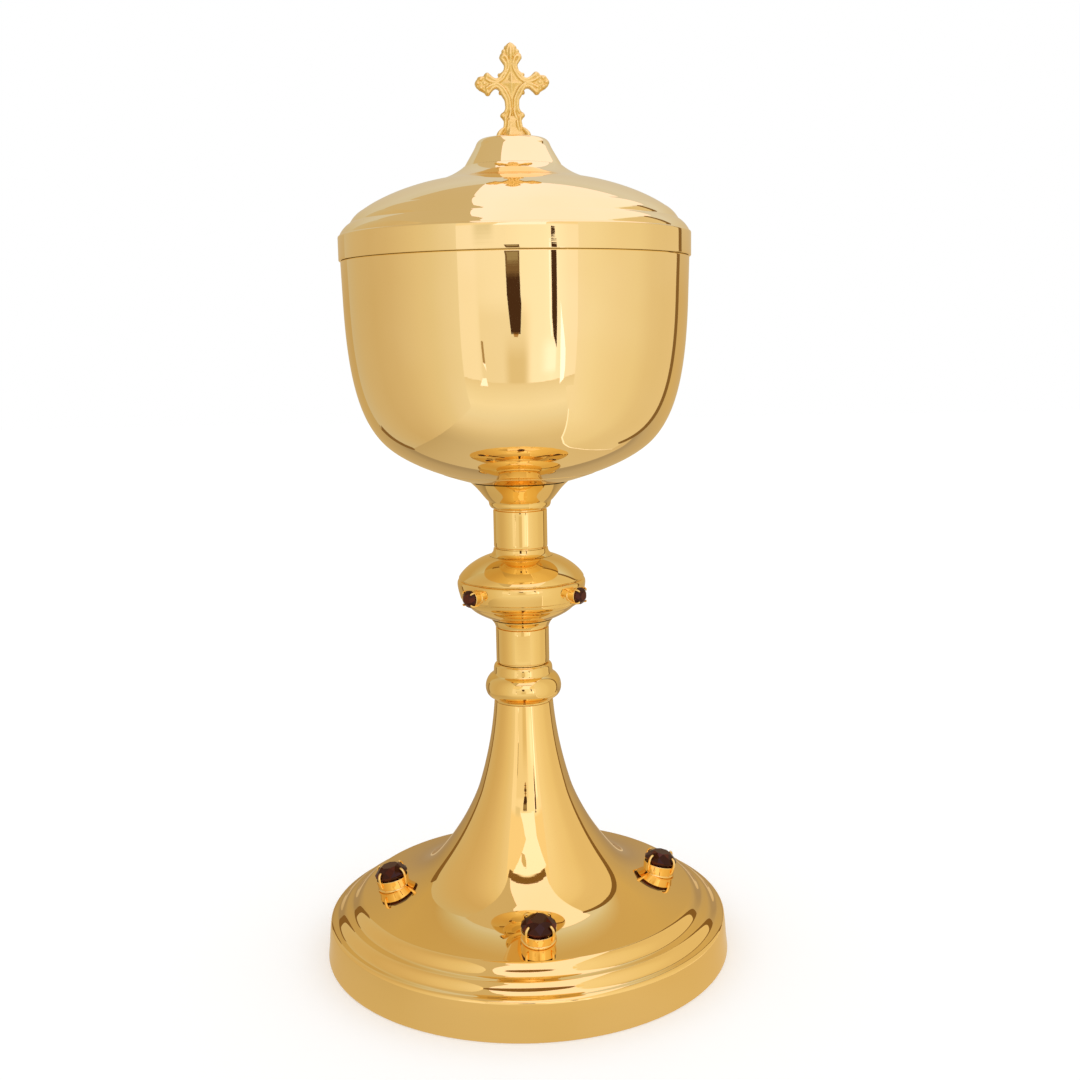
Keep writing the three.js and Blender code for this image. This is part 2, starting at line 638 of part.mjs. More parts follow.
function finialCross() {
	const bud = new THREE.Vector3(CROSS_LEAF * 0.85, CROSS_DEPTH * 0.5, CROSS_LEAF * 0.75);
	const root = new THREE.Vector3(CROSS_LEAF * 0.75, CROSS_FOOT_DEPTH * 0.45, CROSS_LEAF * 0.6);
	const budX = CROSS_SHAFT + bud.x * 0.5;
	const budZ = CROSS_PEDESTAL_HEIGHT + bud.z;
	const rootX = CROSS_FOOT_WIDTH / 2 - root.x * 0.4;
	const stud = new THREE.CylinderGeometry(STUD_RADIUS, STUD_RADIUS, STUD_LENGTH + 1, 12)
		.rotateX(Math.PI / 2)
		.translate(0, 0, (1 - STUD_LENGTH) / 2);
	const pieces = [
		extrudeUpright(crossShape(), CROSS_DEPTH, CROSS_BEVEL, 1),
		...armLeaves(1),
		...armLeaves(-1),
		...topLeaves(),
		...crossStar(),
		leaf(budX, budZ, bud, 40),
		leaf(-budX, budZ, bud, 140),
		leaf(rootX, root.z, root, 0),
		leaf(-rootX, root.z, root, 0),
		stud,
	];
	return toGeometry(joined(pieces).add(crossPedestal())).translate(0, 0, neckTop);
}

// Hardware

function washer(radius, hole, bottom, thickness) {
	return revolveRing([
		at(hole, bottom),
		at(radius, bottom),
		at(radius, bottom + thickness),
		at(hole, bottom + thickness),
	], STEM_SIDES);
}

function hexNut(flats, hole, bottom, height) {
	const shape = new THREE.Shape();
	const corner = flats / Math.sqrt(3);
	for (let i = 0; i < 6; i++) {
		const p = heading(60 * i).multiplyScalar(corner);
		if (i === 0) shape.moveTo(p.x, p.y);
		else shape.lineTo(p.x, p.y);
	}
	shape.closePath();
	shape.holes.push(new THREE.Path().absarc(0, 0, hole, 0, 2 * Math.PI, true));
	const settings = { depth: height, bevelEnabled: false, curveSegments: STEM_SIDES / 2 };
	return new THREE.ExtrudeGeometry(shape, settings).translate(0, 0, bottom);
}

function tieRod() {
	const bottom = CLAMP_HEIGHT - WASHER_THICKNESS - ROD_NUT_HEIGHT - ROD_TAIL;
	const top = cupBottom - SEAT_GAP;
	const length = top - bottom;
	return new THREE.CylinderGeometry(ROD_RADIUS, ROD_RADIUS, length, 18)
		.rotateX(Math.PI / 2)
		.translate(0, 0, bottom + length / 2);
}

// The clamp disc's edge follows the inside of the flare that it is drawn up into.
function clampDisc() {
	const inside = insetProfile(footOutline(OUTER_STEPS), FOOT_WALL);
	const edge = (height) => radiusAt(inside, height) - SEAT_GAP;
	const top = CLAMP_HEIGHT + CLAMP_THICKNESS;
	return revolveRing([
		at(rodBore, CLAMP_HEIGHT),
		at(edge(CLAMP_HEIGHT), CLAMP_HEIGHT),
		at(edge(top), top),
		at(rodBore, top),
	], STEM_SIDES);
}

// Garnets and claw settings, modelled with the setting's axis up and its foot at height 0

// A round brilliant: table, crown facets, girdle and pavilion, drawn as one convex form.
function garnetStone(size) {
	const points = [];
	const circle = (count, share, height, shift) => {
		for (let i = 0; i < count; i++) {
			const way = heading(360 * (i + shift) / count).multiplyScalar(size.radius * share);
			points.push(new THREE.Vector3(way.x, way.y, size.girdle + size.radius * height));
		}
	};
	circle(8, TABLE_SHARE, CROWN_SHARE, 0);
	circle(8, (1 + TABLE_SHARE) / 2, CROWN_SHARE * 0.62, 0.5);
	circle(16, 1, 0.02, 0);
	circle(16, 1, -0.02, 0);
	points.push(new THREE.Vector3(0, 0, size.girdle - size.radius * PAVILION_SHARE));
	return new ConvexGeometry(points);
}

// The collet widens from its foot, which has a bead round it, up to the stone.
function collet(size) {
	const outer = size.radius + STONE_GAP;
	const inner = outer - COLLET_WALL;
	return revolveRing([
		at(size.foot - COLLET_WALL, 0),
		at(size.foot + COLLET_BEAD, 0),
		at(size.foot + COLLET_BEAD, COLLET_BEAD),
		at(size.foot, 2 * COLLET_BEAD),
		at(outer, size.collet),
		at(inner, size.collet),
	], size.sides);
}

// One claw: up the outside of the collet, a notch for the girdle, and a tip over the crown.
function claw(size) {
	const { radius, girdle, claw: thick } = size;
	const shape = new THREE.Shape();
	const face = radius + STONE_GAP;
	const out = face + thick * 0.6;
	const ledge = radius * 0.86;
	const ledgeHeight = girdle - radius * 0.16 * PAVILION_SHARE - 2 * STONE_GAP;
	const tip = radius * 0.78;
	const heel = size.collet * 0.45;
	const slope = CROWN_SHARE / (1 - TABLE_SHARE);
	const crown = (r) => girdle + (radius - r) * slope * 1.12 + radius * 0.02 + 1.5 * STONE_GAP;
	shape.moveTo(face - COLLET_WALL, heel);
	shape.lineTo(face, heel);
	shape.lineTo(out, heel + thick);
	shape.lineTo(out, girdle);
	shape.quadraticCurveTo(out, crown(tip) + thick * 0.5, tip, crown(tip) + thick * 0.35);
	shape.lineTo(tip, crown(tip));
	shape.lineTo(face, crown(face));
	shape.lineTo(face, ledgeHeight + STONE_GAP);
	shape.lineTo(ledge, ledgeHeight - STONE_GAP);
	shape.lineTo(ledge, heel + thick * 0.5);
	shape.closePath();
	return extrudeUpright(shape, thick, 0, 2);
}

function clawSetting(size) {
	const claws = [];
	for (let i = 0; i < CLAW_COUNT; i++) {
		claws.push(claw(size).rotateZ(2 * Math.PI * (i + 0.5) / CLAW_COUNT));
	}
	return toGeometry(joined([collet(size), ...claws]));
}

// Sets stones round the axis. Each seat is a frame standing square on the surface.
function addStones(parent, family, size, reach, height, tilt, turn) {
	for (let i = 0; i < STONE_COUNT; i++) {
		const spoke = new THREE.Group();
		const seat = new THREE.Group();
		spoke.rotation.z = THREE.MathUtils.degToRad(turn + 360 * i / STONE_COUNT);
		seat.position.set(0, -reach, height);
		seat.rotation.x = tilt;
		seat.translateZ(SEAT_GAP);
		parent.add(spoke.add(seat));
		addPart(seat, `${family}_setting_${i + 1}`, clawSetting(size), gilt);
		addPart(seat, `${family}_garnet_${i + 1}`, garnetStone(size), garnet);
	}
}

function addStand(parent) {
	const foot = footOutline(OUTER_STEPS);
	const grip = FOOT_STONE.radius + FOOT_STONE.claw;
	const inner = heightAt(foot, footStoneReach - grip);
	const outer = heightAt(foot, footStoneReach + grip);
	const draft = Math.atan2(KNOP_BAND_DRAFT, KNOP_BAND_HEIGHT);
	const washerBottom = CLAMP_HEIGHT - WASHER_THICKNESS;
	const rodWasher = washer(ROD_WASHER_RADIUS, rodBore, washerBottom, WASHER_THICKNESS);
	const rodNut = hexNut(ROD_NUT_FLATS, rodBore, washerBottom - ROD_NUT_HEIGHT, ROD_NUT_HEIGHT);
	addPart(parent, 'foot_shell', footShell(), gilt);
	addStones(parent, 'foot', FOOT_STONE, footStoneReach, (inner + outer) / 2,
		Math.atan2(inner - outer, 2 * grip), FOOT_STONE_TURN);
	addPart(parent, 'stem_bead_ring', beadRing(), gilt);
	addPart(parent, 'lower_stem_tube', stemTube(lowerTubeBottom, LOWER_TUBE_LENGTH), gilt);
	addPart(parent, 'knop_lower_ring', knopRing(), gilt).position.z = lowerRingBottom;
	addPart(parent, 'knop_dish', knopDish(), gilt);
	addPart(parent, 'knop_band', knopBand(), gilt);
	addPart(parent, 'knop_dome', knopDome(), gilt);
	addStones(parent, 'knop', KNOP_STONE, KNOP_BAND_RADIUS - KNOP_BAND_DRAFT / 2,
		(bandBottom + domeBottom) / 2, Math.PI / 2 + draft, KNOP_STONE_TURN);
	const upperRing = addPart(parent, 'knop_upper_ring', knopRing(), gilt);
	upperRing.position.z = upperTubeBottom;
	upperRing.rotation.x = Math.PI;
	addPart(parent, 'upper_stem_tube', stemTube(upperTubeBottom, UPPER_TUBE_LENGTH), gilt);
	addPart(parent, 'cup_collar', collar(), gilt);
	addPart(parent, 'cup_boss', cupBoss(), gilt);
	addPart(parent, 'cup_bowl', cupBowl(), gilt);
	addPart(parent, 'tie_rod', tieRod(), steel);
	addPart(parent, 'foot_clamp_disc', clampDisc(), steel);
	addPart(parent, 'tie_rod_washer', rodWasher, steel);
	addPart(parent, 'tie_rod_nut', rodNut, steel);
}

function addLid(parent) {
	const hole = STUD_RADIUS + STUD_CLEARANCE;
	const washerBottom = neckTop - SHELL_WALL - WASHER_THICKNESS;
	const studWasher = washer(STUD_WASHER_RADIUS, hole, washerBottom, WASHER_THICKNESS);
	const studNut = hexNut(STUD_NUT_FLATS, hole, washerBottom - STUD_NUT_HEIGHT, STUD_NUT_HEIGHT);
	addPart(parent, 'lid_shell', lidShell(), gilt);
	addPart(parent, 'lid_neck', lidNeck(), gilt);
	addPart(parent, 'finial_cross', finialCross(), castGilt);
	addPart(parent, 'finial_washer', studWasher, steel);
	addPart(parent, 'finial_nut', studNut, steel);
}

const ciborium = new THREE.Group();
addStand(ciborium);
addLid(ciborium);

export default ciborium;
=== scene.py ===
import math

import bmesh
import bpy
import numpy as np
from mathutils import Matrix, Vector


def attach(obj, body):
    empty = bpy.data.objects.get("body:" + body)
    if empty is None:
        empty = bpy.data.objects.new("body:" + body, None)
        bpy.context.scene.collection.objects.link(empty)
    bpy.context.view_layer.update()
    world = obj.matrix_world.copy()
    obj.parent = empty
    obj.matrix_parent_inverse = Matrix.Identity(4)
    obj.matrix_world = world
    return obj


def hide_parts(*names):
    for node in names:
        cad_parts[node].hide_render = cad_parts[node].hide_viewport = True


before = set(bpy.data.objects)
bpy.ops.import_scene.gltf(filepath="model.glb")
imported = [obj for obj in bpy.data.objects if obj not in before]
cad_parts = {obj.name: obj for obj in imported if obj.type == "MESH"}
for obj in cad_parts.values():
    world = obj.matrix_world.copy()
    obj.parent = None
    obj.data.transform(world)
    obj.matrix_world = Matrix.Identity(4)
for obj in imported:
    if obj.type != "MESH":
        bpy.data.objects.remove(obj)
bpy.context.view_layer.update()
MM = 0.001
scene = bpy.context.scene
scene.view_settings.view_transform = "Standard"

# ---------------------------------------------------------------- camera

# Fitted to the circles of the turned parts in the photograph: angles in radians, the place in metres
YAW, PITCH, ROLL = 0.0150, -0.1564, -0.0173
CAMERA_PLACE = (0, -0.4665, 0.2267)
LENS_MM = 43.53
SENSOR_MM = 36.0

forward = Vector((math.sin(YAW) * math.cos(PITCH), math.cos(YAW) * math.cos(PITCH), math.sin(PITCH)))
level = Vector((math.cos(YAW), -math.sin(YAW), 0))
upright = level.cross(forward)
right = level * math.cos(ROLL) + upright * math.sin(ROLL)
up = upright * math.cos(ROLL) - level * math.sin(ROLL)
cam_data = bpy.data.cameras.new("camera")
cam_data.sensor_width = SENSOR_MM
cam_data.lens = LENS_MM
camera = bpy.data.objects.new("camera", cam_data)
scene.collection.objects.link(camera)
turn = Matrix((right, up, -forward)).transposed().to_4x4()
camera.matrix_world = Matrix.Translation(Vector(CAMERA_PLACE)) @ turn
scene.camera = camera

# ---------------------------------------------------------------- node helpers


class Nodes:
    """A small builder for shader trees."""

    def __init__(self, tree):
        self.tree = tree
        tree.nodes.clear()

    def add(self, kind, **values):
        node = self.tree.nodes.new(kind)
        for key, value in values.items():
            setattr(node, key, value)
        return node

    def link(self, out, into):
        self.tree.links.new(out, into)

    def put(self, socket, value):
        if isinstance(value, bpy.types.NodeSocket):
            self.link(value, socket)
        else:
            socket.default_value = value

    def multiply(self, a, b):
        node = self.add("ShaderNodeMath", operation="MULTIPLY")
        self.put(node.inputs[0], a)
        self.put(node.inputs[1], b)
        return node.outputs[0]

    def smooth(self, x, low, high, out_low=0.0, out_high=1.0):
        node = self.add("ShaderNodeMapRange", interpolation_type="SMOOTHSTEP")
        given = {"Value": x, "From Min": low, "From Max": high, "To Min": out_low, "To Max": out_high}
        for name, value in given.items():
            self.put(node.inputs[name], value)
        return node.outputs[0]

    def mix(self, factor, a, b, blend="MIX"):
        node = self.add("ShaderNodeMix", data_type="RGBA", blend_type=blend)
        self.put(node.inputs["Factor"], factor)
        self.put(node.inputs["A"], a)
        self.put(node.inputs["B"], b)
        return node.outputs["Result"]

    def noise(self, vector, scale, detail=2.0, rough=0.5):
        node = self.add("ShaderNodeTexNoise")
        self.link(vector, node.inputs["Vector"])
        node.inputs["Scale"].default_value = scale
        node.inputs["Detail"].default_value = detail
        node.inputs["Roughness"].default_value = rough
        return node.outputs["Fac"]

    def stretch(self, vector, scale):
        node = self.add("ShaderNodeMapping")
        self.link(vector, node.inputs["Vector"])
        node.inputs["Scale"].default_value = scale
        return node.outputs[0]

    def bump(self, height, strength, distance, normal=None):
        node = self.add("ShaderNodeBump")
        self.put(node.inputs["Height"], height)
        node.inputs["Strength"].default_value = strength
        node.inputs["Distance"].default_value = distance
        if normal is not None:
            self.link(normal, node.inputs["Normal"])
        return node.outputs[0]


def rgb(r, g, b):
    return (r, g, b, 1.0)


def warm(r, g, b):
    """A colour of the light tent, made warmer: its green and blue are scaled down."""
    return (r, g * 0.92, b * 0.86, 1.0)


def new_material(name):
    material = bpy.data.materials.new(name)
    material.use_nodes = True
    return material, Nodes(material.node_tree)


# ---------------------------------------------------------------- materials


def polished_gold(name, light, deep, wave=0.35, metal=1.0):
    """Mirror gold plate: a slow drift of colour, faint spinning lines and a soft polishing haze."""
    material, n = new_material(name)
    coords = n.add("ShaderNodeTexCoord").outputs["Object"]
    out = n.add("ShaderNodeOutputMaterial")
    shader = n.add("ShaderNodeBsdfPrincipled")
    drift = n.noise(coords, 26.0, 2.0)
    spun = n.noise(n.stretch(coords, (3.0, 3.0, 900.0)), 1.0, 3.0, 0.6)
    haze = n.noise(coords, 700.0, 3.0, 0.6)
    swell = n.noise(coords, 34.0, 1.0, 0.4)
    n.link(n.mix(n.smooth(drift, 0.3, 0.7), rgb(*light), rgb(*deep)), shader.inputs["Base Color"])
    shader.inputs["Metallic"].default_value = metal
    shader.inputs["IOR"].default_value = 1.5
    shader.inputs["Specular Tint"].default_value = rgb(1.0, 0.94, 0.84)
    n.link(n.smooth(haze, 0.25, 0.8, 0.014, 0.036), shader.inputs["Roughness"])
    fine = n.bump(spun, 0.035, 0.0001)
    n.link(n.bump(swell, wave, 0.00012, fine), shader.inputs["Normal"])
    n.link(shader.outputs[0], out.inputs["Surface"])
    return material


def cast_gold():
    """Satin plate over a casting: grainy, with a painted highlight that makes its raised parts paler and painted shade
    that makes its hollows a deeper gold.
    """
    material, n = new_material("cast_gold")
    coords = n.add("ShaderNodeTexCoord").outputs["Object"]
    out = n.add("ShaderNodeOutputMaterial")
    shader = n.add("ShaderNodeBsdfPrincipled")
    grain = n.noise(coords, 1900.0, 3.0, 0.7)
    lumps = n.noise(coords, 520.0, 2.0, 0.5)
    # Painted shade and painted highlight: by pointiness, the hollows get a deeper gold and the raised parts a paler
    # one.
    point = n.add("ShaderNodeNewGeometry").outputs["Pointiness"]
    painted_light_mask = n.smooth(point, 0.46, 0.57)
    plate = n.mix(painted_light_mask, rgb(0.78, 0.55, 0.17), rgb(0.97, 0.76, 0.36))
    n.link(plate, shader.inputs["Base Color"])
    shader.inputs["Metallic"].default_value = 1.0
    n.link(n.smooth(grain, 0.3, 0.7, 0.27, 0.42), shader.inputs["Roughness"])
    first = n.bump(grain, 0.22, 0.0001)
    n.link(n.bump(lumps, 0.45, 0.0003, first), shader.inputs["Normal"])
    n.link(shader.outputs[0], out.inputs["Surface"])
    return material


def garnet_glass():
    """Deep red stone: nearly black from the front, with painted internal reflections, a brighter red in some of its
    facets picked at random.
    """
    material, n = new_material("garnet")
    geometry = n.add("ShaderNodeNewGeometry")
    out = n.add("ShaderNodeOutputMaterial")
    shader = n.add("ShaderNodeBsdfPrincipled")
    facets = n.add("ShaderNodeTexWhiteNoise", noise_dimensions="3D")
    snapped = n.add("ShaderNodeVectorMath", operation="SNAP")
    n.link(geometry.outputs["True Normal"], snapped.inputs[0])
    snapped.inputs[1].default_value = (0.12, 0.12, 0.12)
    n.link(snapped.outputs[0], facets.inputs["Vector"])
    # Painted reflections: facets picked at random by their normal get a brighter red.
    red = n.mix(n.smooth(facets.outputs["Value"], 0.35, 1.0), rgb(0.036, 0.006, 0.003), rgb(0.1, 0.017, 0.007))
    n.link(red, shader.inputs["Base Color"])
    shader.inputs["Roughness"].default_value = 0.04
    shader.inputs["IOR"].default_value = 1.5
    shader.inputs["Specular IOR Level"].default_value = 0.2
    n.link(shader.outputs[0], out.inputs["Surface"])
    return material


def turned_steel():
    material, n = new_material("turned_steel")
    coords = n.add("ShaderNodeTexCoord").outputs["Object"]
    out = n.add("ShaderNodeOutputMaterial")
    shader = n.add("ShaderNodeBsdfPrincipled")
    rings = n.noise(n.stretch(coords, (40.0, 40.0, 2600.0)), 1.0, 2.0)
    grain = n.noise(coords, 900.0, 2.0)
    n.link(n.mix(grain, rgb(0.52, 0.51, 0.5), rgb(0.66, 0.65, 0.63)), shader.inputs["Base Color"])
    shader.inputs["Metallic"].default_value = 1.0
    n.link(n.smooth(grain, 0.3, 0.7, 0.25, 0.4), shader.inputs["Roughness"])
    n.link(n.bump(rings, 0.2, 0.0001), shader.inputs["Normal"])
    n.link(shader.outputs[0], out.inputs["Surface"])
    return material


GOLD_UP = polished_gold("gold_cup", (0.97, 0.785, 0.435), (0.95, 0.755, 0.39))
GOLD_STEM = polished_gold("gold_stem", (0.945, 0.7, 0.285), (0.925, 0.675, 0.26))
GOLD_FOOT = polished_gold("gold_foot", (0.985, 0.725, 0.31), (0.965, 0.7, 0.28))
GOLD_CLAW = polished_gold("gold_claw", (0.985, 0.745, 0.34), (0.96, 0.69, 0.265), 0.5)
GOLD_INSIDE = polished_gold("gold_inside", (0.97, 0.74, 0.36), (0.95, 0.71, 0.33), 0.35, 0.75)
CAST = cast_gold()
GARNET = garnet_glass()
STEEL = turned_steel()

# ---------------------------------------------------------------- profiles

# Sides of the turned pieces: more on the wider ones, so that their reflections run smoothly
STEM_SIDES, KNOP_SIDES, WIDE_SIDES, CUP_SIDES = 192, 224, 256, 288
SHARP_EDGE = 35
SAME_PLACE = 1e-7


class Profile:
    """A turned profile in mm: radius and height, with the corners that are named as creases listed, so that they can be
    eased.
    """

    def __init__(self, r, z):
        self.points = [(r, z)]
        self.creases = set()

    def crease(self):
        self.creases.add(len(self.points) - 1)
        return self

    def line(self, r, z, steps=1):
        r0, z0 = self.points[-1]
        for i in range(1, steps + 1):
            t = i / steps
            self.points.append((r0 + (r - r0) * t, z0 + (z - z0) * t))
        return self

    def bezier(self, a, b, end, steps=24):
        p0 = np.array(self.points[-1])
        a, b, end = np.array(a), np.array(b), np.array(end)
        for i in range(1, steps + 1):
            t = i / steps
            u = 1 - t
            p = u ** 3 * p0 + 3 * u * u * t * a + 3 * u * t * t * b + t ** 3 * end
            self.points.append(tuple(p))
        return self

    def quad(self, a, end, steps=10):
        p0, a, e = np.array(self.points[-1]), np.array(a), np.array(end)
        return self.bezier(p0 + (a - p0) * 2 / 3, e + (a - e) * 2 / 3, end, steps)

    def bulge(self, r, z, height, steps=14):
        """A step that swells out of its straight line by the height."""
        r0, z0 = self.points[-1]
        length = math.hypot(r - r0, z - z0)
        middle = ((r0 + r) / 2 + 2 * height * (z - z0) / length, (z0 + z) / 2 - 2 * height * (r - r0) / length)
        return self.quad(middle, (r, z), steps)

    def flow(self, head0, pull0, end, head1, pull1, steps=40):
        r0, z0 = self.points[-1]
        span = math.hypot(end[0] - r0, end[1] - z0)
        a0, a1 = math.radians(head0), math.radians(head1)
        a = (r0 + math.cos(a0) * pull0 * span, z0 + math.sin(a0) * pull0 * span)
        b = (end[0] - math.cos(a1) * pull1 * span, end[1] - math.sin(a1) * pull1 * span)
        return self.bezier(a, b, end, steps)

    def rounded(self, radius):
        """The profile with each crease eased by a small radius."""
        pts = [np.array(p) for p in self.points]
        out = Profile(*pts[0])
        for i in range(1, len(pts)):
            if i in self.creases and i < len(pts) - 1:
                before, after = pts[i - 1] - pts[i], pts[i + 1] - pts[i]
                ease = min(radius, 0.45 * np.linalg.norm(before), 0.45 * np.linalg.norm(after))
                a = pts[i] + before / np.linalg.norm(before) * ease
                b = pts[i] + after / np.linalg.norm(after) * ease
                out.points.append(tuple(a))
                out.quad(pts[i], b, 4)
            else:
                out.points.append(tuple(pts[i]))
        return out


def dress(obj, body, material, slot, *nodes):
    obj.data.materials.append(material)
    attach(obj, body)
    if nodes:
        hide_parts(*nodes)
    return obj


def mesh_object(name, verts, faces, smooth=True):
    mesh = bpy.data.meshes.new(name)
    mesh.from_pydata([tuple(v) for v in verts], [], faces)
    mesh.validate()
    mesh.polygons.foreach_set("use_smooth", [smooth] * len(mesh.polygons))
    obj = bpy.data.objects.new(name, mesh)
    scene.collection.objects.link(obj)
    return obj


def sharpen(obj, degrees):
    """Edges that turn more than this stay crisp."""
    bm = bmesh.new()
    bm.from_mesh(obj.data)
    limit = math.radians(degrees)
    for e in bm.edges:
        if len(e.link_faces) == 2 and e.calc_face_angle(0) > limit:
            e.smooth = False
    bm.to_mesh(obj.data)
    bm.free()
    return obj


def revolve(name, profile, sides):
    """The profile turned round the axis into a closed ring of the given number of sides."""
    points = profile.points
    rows = len(points)
    verts = []
    for r, z in points:
        for k in range(sides):
            a = 2 * math.pi * k / sides
            verts.append((r * math.sin(a) * MM, -r * math.cos(a) * MM, z * MM))
    faces = []
    for i in range(rows):
        j = (i + 1) % rows
        for k in range(sides):
            m = (k + 1) % sides
            faces.append((i * sides + k, i * sides + m, j * sides + m, j * sides + k))
    obj = mesh_object(name, verts, faces)
    bm = bmesh.new()
    bm.from_mesh(obj.data)
    bmesh.ops.remove_doubles(bm, verts=bm.verts, dist=SAME_PLACE)
    bmesh.ops.recalc_face_normals(bm, faces=bm.faces)
    bm.to_mesh(obj.data)
    bm.free()
    return sharpen(obj, SHARP_EDGE)


# ---------------------------------------------------------------- foot

p = Profile(70.8, 0).line(74.1, 0).quad((74.78, 0.02), (74.76, 0.8), 6)
p.line(74.3, 5, 3).line(73.9, 10, 3).line(73.55, 12.7, 3)
p.flow(93, 0.4, (72.35, 14.1), 160, 0.4, 12).flow(160, 0.35, (70.45, 14.95), 138, 0.35, 12)
p.flow(138, 0.4, (67.5, 17.55), 153, 0.4, 16).crease().flow(163, 0.35, (64.8, 18.65), 136, 0.35, 14)
p.flow(136, 0.4, (61.3, 21.65), 155, 0.4, 16).crease()
p.flow(171, 0.56, (31.4, 36.5), 128.7, 0.28, 50)
p.flow(128.7, 0.33, (22.2, 50.2), 118.2, 0.33, 40).flow(118.2, 0.33, (19.0, 56.7), 113.6, 0.33, 24)
p.flow(113.6, 0.33, (16.75, 62.6), 106.0, 0.33, 24).flow(106.0, 0.33, (14.93, 69.1), 104.3, 0.33, 24)
p.flow(104.3, 0.3, (10.75, 94.2), 94.6, 0.4, 50).crease()
p.line(9.6, 94.2)
p.bezier((10.5, 74), (17.6, 54), (23.6, 44.4), 24)
p.bezier((30.9, 32.4), (36.8, 23.7), (61.2, 20.0), 24)
p.line(66.8, 15.9, 4).line(72.5, 12.2, 4).line(73.5, 1.2, 4).line(70.8, 1.2)
dress(revolve("foot", p.rounded(0.3), WIDE_SIDES), "stand", GOLD_FOOT, "gilt_brass", "foot_shell")

# ---------------------------------------------------------------- stem

p = Profile(8.4, 94.3).line(10.7, 94.3).quad((10.72, 95.3), (11.45, 95.45), 8).crease()
p.bezier((14.75, 96.4), (14.65, 102.2), (11.35, 104.2), 40).crease()
p.quad((10.85, 104.5), (10.8, 105.2), 8).line(10.75, 106.0, 2)
p.quad((10.7, 107.3), (10.2, 107.75), 8).quad((9.95, 107.9), (9.86, 108.1), 4).crease().line(8.4, 108.1)
dress(revolve("bead_ring", p.rounded(0.12), STEM_SIDES), "stand", GOLD_STEM, "gilt_brass", "stem_bead_ring")

TUBES = (("lower_tube", "lower_stem_tube", 108.25, 122.0), ("upper_tube", "upper_stem_tube", 150.75, 165.15))
for name, node, low, high in TUBES:
    p = Profile(8.7, low).line(9.0, low).line(9.0, low + 0.4).quad((9.7, low + 0.45), (9.7, low + 0.8), 6)
    p.line(9.7, high - 0.8, 8).quad((9.7, high - 0.45), (9.0, high - 0.4), 6).line(9.0, high).line(8.7, high)
    dress(revolve(name, p, STEM_SIDES), "stand", GOLD_STEM, "gilt_brass", node)

# ---------------------------------------------------------------- knop

p = Profile(8.0, 122.0).line(9.8, 122.0).quad((10.1, 123.2), (11.1, 124.3), 12).crease()
p.line(11.2, 124.6).line(8.0, 124.6)
dress(revolve("knop_ring_low", p.rounded(0.12), STEM_SIDES), "stand", GOLD_STEM, "gilt_brass", "knop_lower_ring")

p = Profile(8.4, 124.7).line(11.1, 124.7).bezier((13.6, 126.0), (17.0, 127.1), (19.3, 129.75), 36).crease()
p.quad((20.2, 130.0), (21.1, 131.1), 8)
p.quad((21.7, 131.8), (21.95, 132.75), 8).line(20.6, 132.75).bezier((17.5, 128.8), (14, 126.6), (8.4, 125.9), 12)
dress(revolve("knop_dish", p.rounded(0.15), KNOP_SIDES), "stand", GOLD_STEM, "gilt_brass", "knop_dish")

p = Profile(20.7, 132.75).line(21.9, 132.75).quad((22.2, 132.8), (22.35, 133.5), 8)
p.bezier((22.8, 135.2), (23.3, 136.9), (23.2, 138.3), 24).quad((23.15, 139.2), (22.6, 139.45), 8)
p.quad((22.3, 139.5), (22.25, 139.75), 5).line(20.7, 139.75)
dress(revolve("knop_band", p, KNOP_SIDES), "stand", GOLD_STEM, "gilt_brass", "knop_band")

p = Profile(20.7, 139.85).line(22.3, 139.85).quad((22.72, 139.85), (22.62, 140.3), 8)
p.bezier((21.3, 142.7), (17.0, 146.45), (11.6, 148.0), 60).crease()
p.line(8.4, 148.02).line(8.4, 147.0).bezier((16, 145), (20, 142), (20.7, 139.85), 12)
dress(revolve("knop_dome", p.rounded(0.12), WIDE_SIDES), "stand", GOLD_STEM, "gilt_brass", "knop_dome")

p = Profile(8.0, 148.06).line(11.5, 148.06).quad((10.0, 148.9), (9.9, 150.1), 14).crease()
p.line(9.8, 150.7).line(8.0, 150.7)
dress(revolve("knop_ring_high", p.rounded(0.12), STEM_SIDES), "stand", GOLD_STEM, "gilt_brass", "knop_upper_ring")

# ---------------------------------------------------------------- collar and cup


def line_inside(obj, opening):
    """The faces that look towards the axis get the softer gilding of the inside. The opening is up (1) or down (-1)."""
    obj.data.materials.append(GOLD_INSIDE)
    for face in obj.data.polygons:
        x, y, _ = face.center
        outward = face.normal.x * x + face.normal.y * y
        leans_in = outward < -1e-4 * abs(face.normal.z)
        nearly_flat = outward < 0 and face.normal.z * opening > 0.5
        if leans_in or nearly_flat:
            face.material_index = 1


p = Profile(8.0, 165.2).line(9.75, 165.2).quad((10.95, 165.5), (11.15, 167.0), 12)
p.quad((11.2, 167.6), (11.55, 168.0), 8).crease()
p.bezier((13.3, 169.6), (14.5, 172.1), (17.7, 174.75), 36)
p.line(15.6, 174.2).line(8.0, 171.6)
dress(revolve("collar", p.rounded(0.12), KNOP_SIDES), "stand", GOLD_STEM, "gilt_brass", "cup_collar", "cup_boss")

